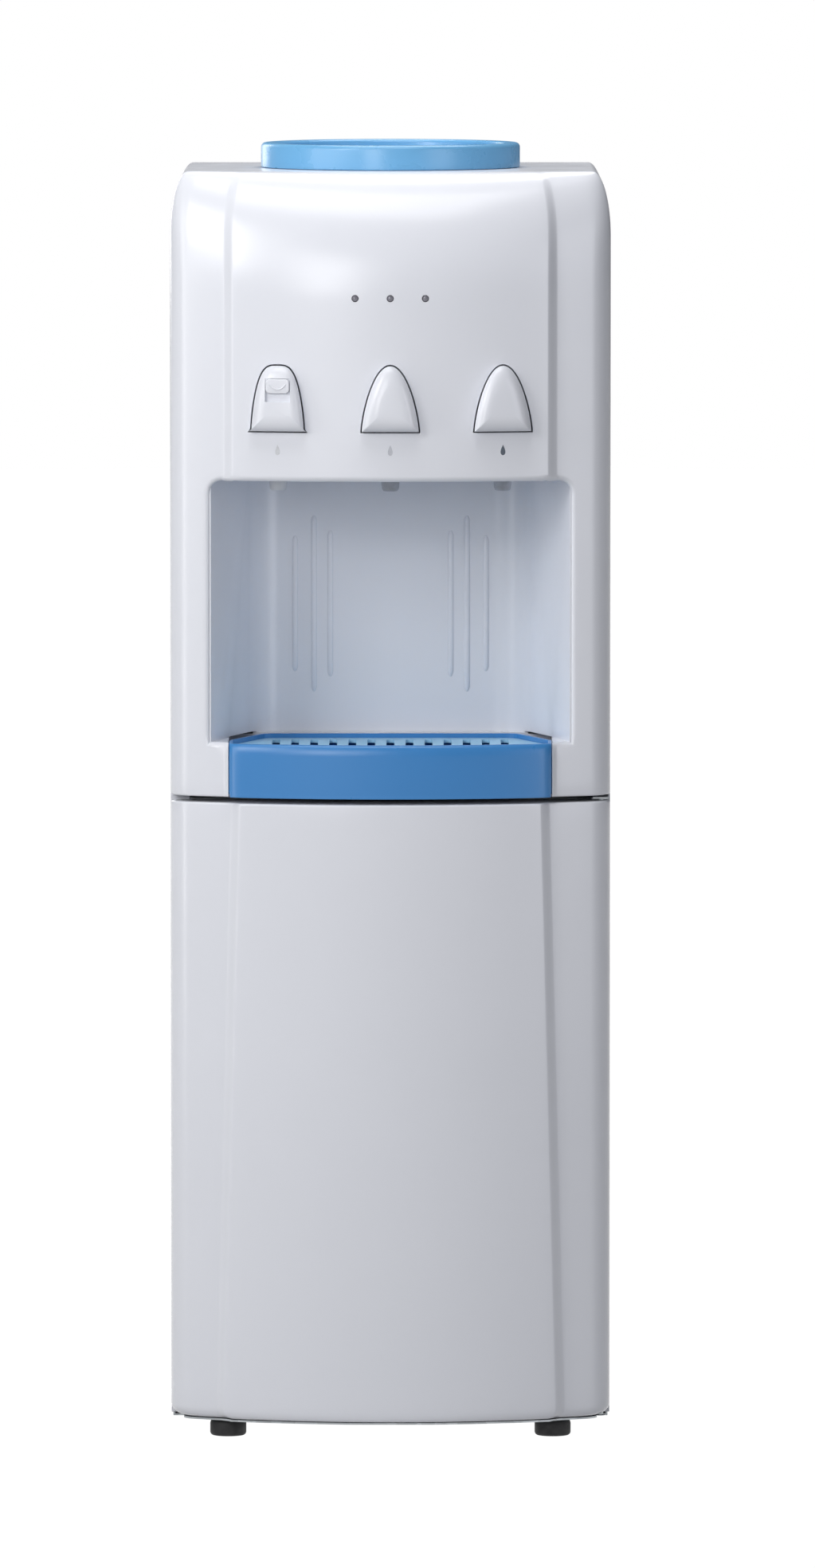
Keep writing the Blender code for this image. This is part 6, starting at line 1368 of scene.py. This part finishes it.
def studio_paper():
    """Seamless matt paper. Seen by the camera it glows to a clean white that keeps a trace of the shadow."""
    made, tree, place = blank("studio_paper")
    fibre = node(tree, "ShaderNodeTexNoise", {}, {"Vector": place, "Scale": 1 / (40 * MM), "Detail": 4.0})
    colour = node(tree, "ShaderNodeMix", {"data_type": "RGBA"},
                  {0: fibre.outputs["Fac"], 6: linear("#A2A2A2"), 7: linear("#B0B0B0")})
    gloss = node(tree, "ShaderNodeMapRange", {}, {"Value": fibre.outputs["Fac"], "To Min": 0.75, "To Max": 0.9})
    tooth = node(tree, "ShaderNodeTexNoise", {}, {"Vector": place, "Scale": 1 / (3 * MM), "Detail": 2.0})
    bump = node(tree, "ShaderNodeBump", {}, {"Height": tooth.outputs["Fac"], "Distance": 0.02 * MM})
    shader = node(tree, "ShaderNodeBsdfPrincipled", {},
                  {"Base Color": colour.outputs[2], "Roughness": gloss.outputs["Result"],
                   "Normal": bump.outputs["Normal"], "IOR": 1.3})
    path = node(tree, "ShaderNodeLightPath")
    mirrored = node(tree, "ShaderNodeMath", {"operation": "MAXIMUM"},
                    {0: path.outputs["Is Glossy Ray"], 1: path.outputs["Is Transmission Ray"]})
    seen = node(tree, "ShaderNodeMath", {"operation": "MAXIMUM"},
                {0: path.outputs["Is Camera Ray"], 1: mirrored.outputs["Value"]})
    share = node(tree, "ShaderNodeMath", {"operation": "MULTIPLY"}, {0: seen.outputs["Value"], 1: 0.9})
    white = node(tree, "ShaderNodeEmission", {}, {"Color": linear("#FFFFFF"), "Strength": 1.13})
    mix = node(tree, "ShaderNodeMixShader", {},
               {0: share.outputs["Value"], 1: shader.outputs["BSDF"], 2: white.outputs["Emission"]})
    node(tree, "ShaderNodeOutputMaterial", {}, {"Surface": mix.outputs["Shader"]})
    return made


def make_backdrop():
    """A wide sheet of paper under the dispenser."""
    half = 14.0
    mesh = bpy.data.meshes.new("backdrop")
    corners = [(-half, -half), (half, -half), (half, half), (-half, half)]
    mesh.from_pydata([(x, y, -0.05 * MM) for x, y in corners], [], [(0, 1, 2, 3)])
    mesh.materials.append(studio_paper())
    obj = bpy.data.objects.new("backdrop", mesh)
    bpy.context.scene.collection.objects.link(obj)


# Each lamp's place, the point that it is aimed at, its width and height, and its colour
LAMPS = {
    "key": ((-0.9, -3.4, 1.5), (0, -0.1, 0.6), (0.9, 1.3), "#FFFFFF"),
    "near": ((-1.3, -1.5, 1.6), (0, -0.1, 0.8), (0.6, 0.8), "#FFFFFF"),
    "side": ((-2.6, -1.9, 1.3), (0, -0.1, 0.6), (0.8, 1.6), "#FFFFFF"),
    "strip": ((-2.2, -0.9, 1.0), (0, -0.1, 0.6), (0.5, 1.8), "#FFFFFF"),
    "fill": ((2.6, -2.6, 1.1), (0, 0, 0.5), (1.4, 2.0), "#F6F8FF"),
    "top": ((-0.15, -0.7, 2.3), (0, -0.1, 0.9), (1.2, 0.8), "#FFFFFF"),
    "deck": ((0.1, 0.4, 1.9), (0, 0, 0.96), (0.9, 0.5), "#FFFFFF"),
    "rear": ((-1.7, 3.0, 1.5), (0, 0.1, 0.5), (1.2, 1.6), "#FFFFFF"),
}


def softbox(name, place, target, size, power, colour):
    """A soft rectangular lamp aimed at a point."""
    data = bpy.data.lights.new(name, "AREA")
    data.shape = "RECTANGLE"
    data.size, data.size_y = size
    data.energy = power
    data.color = linear(colour)[:3]
    obj = bpy.data.objects.new(name, data)
    obj.location = place
    obj.rotation_euler = (Vector(target) - Vector(place)).to_track_quat("-Z", "Y").to_euler()
    bpy.context.scene.collection.objects.link(obj)


def make_air(strength):
    """Even light from all round, which the camera sees as white."""
    world = bpy.data.worlds.new("studio_air")
    bpy.context.scene.world = world
    world.use_nodes = True
    tree = world.node_tree
    tree.nodes.clear()
    air = node(tree, "ShaderNodeBackground", {}, {"Color": linear("#F2F4FA"), "Strength": strength})
    white = node(tree, "ShaderNodeBackground", {}, {"Color": linear("#FFFFFF"), "Strength": 1.0})
    path = node(tree, "ShaderNodeLightPath")
    mix = node(tree, "ShaderNodeMixShader", {},
               {0: path.outputs["Is Camera Ray"], 1: air.outputs["Background"], 2: white.outputs["Background"]})
    node(tree, "ShaderNodeOutputWorld", {}, {"Surface": mix.outputs["Shader"]})


# Where the photograph was taken from, and how far the camera looked down
EYE = (13 * MM, -10.0, 1.25)
EYE_TILT = math.radians(4.36)


def make_camera(lens):
    """A long lens far in front, a little above the middle and tilted down."""
    data = bpy.data.cameras.new("photo_camera")
    data.lens = lens
    data.sensor_width = 36
    data.clip_end = 60
    camera = bpy.data.objects.new("photo_camera", data)
    camera.location = EYE
    camera.rotation_euler = (math.radians(90) - EYE_TILT, 0, 0)
    bpy.context.scene.collection.objects.link(camera)
    bpy.context.scene.camera = camera


# The add-on: the values that a user would change, an operator for each group, and a panel

class DispenserLook(bpy.types.PropertyGroup):
    """Colours, edges and lamp powers of the dispenser."""
    shell_colour: StringProperty(
        name="Shell colour", description="sRGB hex of the white housing", default="#E9EBF2")
    lining_colour: StringProperty(
        name="Lining colour", description="sRGB hex of the cabinet lining", default="#DFE1E6")
    tray_colour: StringProperty(
        name="Tray colour", description="sRGB hex of the drip tray", default="#4189CB")
    collar_colour: StringProperty(
        name="Collar colour", description="sRGB hex of the bottle collar", default="#6FAEDB")
    grille_colour: StringProperty(
        name="Grille colour", description="sRGB hex of the tray's grille", default="#A2D8F8")
    shell_roughness: FloatProperty(
        name="Shell roughness", description="Roughness of the polished housing", default=0.24, min=0.05, max=1.0,
        subtype="FACTOR")
    lip: FloatProperty(
        name="Recess lip", description="Radius of the lip round the recess", default=5 * MM, unit="LENGTH")
    flute: FloatProperty(
        name="Flute radius", description="Half width of the flutes in the recess", default=2.2 * MM, unit="LENGTH")
    button_gap: FloatProperty(
        name="Button gap", description="Gap round each push button", default=0.95 * MM, unit="LENGTH")
    crescent: FloatProperty(
        name="Lock ridge", description="Radius of the child lock's raised crescent", default=0.6 * MM, unit="LENGTH")
    mark: FloatProperty(
        name="Mark size", description="Half height of the printed drops", default=4 * MM, unit="LENGTH")
    tray_border: FloatProperty(
        name="Tray border", description="Width of the rounded border of the tray's front", default=9 * MM,
        unit="LENGTH")
    grille_edge: FloatProperty(
        name="Grille edge", description="Radius of the grille's edges", default=0.5 * MM, unit="LENGTH")
    door_edge: FloatProperty(
        name="Door edge", description="Radius of the door's top and bottom edges", default=1.6 * MM, unit="LENGTH")
    deck_edge: FloatProperty(
        name="Deck edge", description="Radius of the deck's rear edge", default=4 * MM, unit="LENGTH")
    screw: FloatProperty(
        name="Screw heads", description="Radius of the screw heads on the back", default=3.4 * MM, unit="LENGTH")
    key_power: FloatProperty(
        name="Key power", description="Power of the large lamp at the front left", default=21.0, min=0.0,
        unit="POWER")
    near_power: FloatProperty(
        name="Near power", description="Power of the small lamp close to the upper left", default=12.0, min=0.0,
        unit="POWER")
    side_power: FloatProperty(
        name="Side power", description="Power of the lamp further round to the left", default=8.5, min=0.0,
        unit="POWER")
    strip_power: FloatProperty(
        name="Strip power", description="Power of the tall strip that draws the left edges", default=9.5, min=0.0,
        unit="POWER")
    fill_power: FloatProperty(
        name="Fill power", description="Power of the weak lamp at the right", default=18.0, min=0.0, unit="POWER")
    top_power: FloatProperty(
        name="Top power", description="Power of the lamp over the forehead", default=11.0, min=0.0, unit="POWER")
    deck_power: FloatProperty(
        name="Deck power", description="Power of the lamp over the deck", default=8.0, min=0.0, unit="POWER")
    rear_power: FloatProperty(
        name="Rear power", description="Power of the lamp behind", default=20.0, min=0.0, unit="POWER")
    air: FloatProperty(
        name="Air light", description="Strength of the light from all round", default=0.09, min=0.0)
    lens: FloatProperty(
        name="Lens", description="Focal length of the camera", default=299.84, subtype="DISTANCE_CAMERA")


class DISPENSER_OT_front(bpy.types.Operator):
    """Make the upper front cover and the recess behind it"""
    bl_idname = "dispenser.front"
    bl_label = "Front cover and recess"

    def execute(self, context):
        look = context.scene.dispenser_look
        make_cover(look)
        make_recess(look)
        return {"FINISHED"}


class DISPENSER_OT_buttons(bpy.types.Operator):
    """Make the push buttons, their marks and the child lock"""
    bl_idname = "dispenser.buttons"
    bl_label = "Push buttons"

    def execute(self, context):
        look = context.scene.dispenser_look
        make_buttons(look)
        make_lock(look)
        return {"FINISHED"}


class DISPENSER_OT_valves(bpy.types.Operator):
    """Make the three valves with their nozzles, and the lights above the buttons"""
    bl_idname = "dispenser.valves"
    bl_label = "Valves and lights"

    def execute(self, context):
        make_taps()
        make_lights()
        return {"FINISHED"}


class DISPENSER_OT_tray(bpy.types.Operator):
    """Make the drip tray and its lift-out grille"""
    bl_idname = "dispenser.tray"
    bl_label = "Drip tray and grille"

    def execute(self, context):
        look = context.scene.dispenser_look
        make_tray(look)
        make_grille(look)
        return {"FINISHED"}


class DISPENSER_OT_door(bpy.types.Operator):
    """Make the door's front and its seal"""
    bl_idname = "dispenser.door"
    bl_label = "Door"

    def execute(self, context):
        look = context.scene.dispenser_look
        make_door(look)
        make_seal()
        return {"FINISHED"}


class DISPENSER_OT_top(bpy.types.Operator):
    """Make the deck, the bottle collar and the feed probe"""
    bl_idname = "dispenser.top"
    bl_label = "Deck and bottle seat"

    def execute(self, context):
        look = context.scene.dispenser_look
        make_top(look)
        make_collar()
        make_probe()
        return {"FINISHED"}


class DISPENSER_OT_cabinet(bpy.types.Operator):
    """Finish the sheet metal, the feet and the cabinet's lining"""
    bl_idname = "dispenser.cabinet"
    bl_label = "Cabinet and feet"

    def execute(self, context):
        look = context.scene.dispenser_look
        make_sheet_metal(look)
        make_feet()
        make_lining()
        return {"FINISHED"}


class DISPENSER_OT_cooling(bpy.types.Operator):
    """Finish the tanks and hoses, and make the compressor, drier and condenser"""
    bl_idname = "dispenser.cooling"
    bl_label = "Tanks and cooling"

    def execute(self, context):
        make_tanks()
        make_compressor()
        make_drier()
        make_condenser()
        return {"FINISHED"}


class DISPENSER_OT_rear(bpy.types.Operator):
    """Make the cord gland and the drain cap, and finish the rear switches"""
    bl_idname = "dispenser.rear"
    bl_label = "Rear fittings"

    def execute(self, context):
        make_gland()
        make_drain_cap()
        make_switches()
        return {"FINISHED"}


class DISPENSER_OT_stage(bpy.types.Operator):
    """Make the backdrop, the lamps and the camera"""
    bl_idname = "dispenser.stage"
    bl_label = "Stage"

    def execute(self, context):
        look = context.scene.dispenser_look
        make_backdrop()
        for name, (place, target, size, colour) in LAMPS.items():
            softbox(f"{name}_softbox", place, target, size, getattr(look, f"{name}_power"), colour)
        make_air(look.air)
        make_camera(look.lens)
        context.scene.view_settings.view_transform = "Standard"
        return {"FINISHED"}


OPERATORS = (DISPENSER_OT_front, DISPENSER_OT_buttons, DISPENSER_OT_valves, DISPENSER_OT_tray, DISPENSER_OT_door,
             DISPENSER_OT_top, DISPENSER_OT_cabinet, DISPENSER_OT_cooling, DISPENSER_OT_rear, DISPENSER_OT_stage)


class DISPENSER_PT_panel(bpy.types.Panel):
    """Settings and steps of the dispenser in the sidebar"""
    bl_label = "Water dispenser"
    bl_idname = "DISPENSER_PT_panel"
    bl_space_type = "VIEW_3D"
    bl_region_type = "UI"
    bl_category = "Dispenser"

    def draw(self, context):
        look = context.scene.dispenser_look
        for name in DispenserLook.__annotations__:
            self.layout.prop(look, name)
        for operator in OPERATORS:
            self.layout.operator(operator.bl_idname)


def register():
    """Add the settings, the steps and the panel to Blender."""
    for cls in (DispenserLook, *OPERATORS, DISPENSER_PT_panel):
        bpy.utils.register_class(cls)
    bpy.types.Scene.dispenser_look = PointerProperty(type=DispenserLook)


def unregister():
    """Take them out again."""
    del bpy.types.Scene.dispenser_look
    for cls in (DISPENSER_PT_panel, *reversed(OPERATORS), DispenserLook):
        bpy.utils.unregister_class(cls)


def main():
    """Make the whole dispenser and its stage."""
    register()
    bpy.ops.dispenser.front()
    bpy.ops.dispenser.buttons()
    bpy.ops.dispenser.valves()
    bpy.ops.dispenser.tray()
    bpy.ops.dispenser.door()
    bpy.ops.dispenser.top()
    bpy.ops.dispenser.cabinet()
    bpy.ops.dispenser.cooling()
    bpy.ops.dispenser.rear()
    bpy.ops.dispenser.stage()


if __name__ == "__main__":
    main()
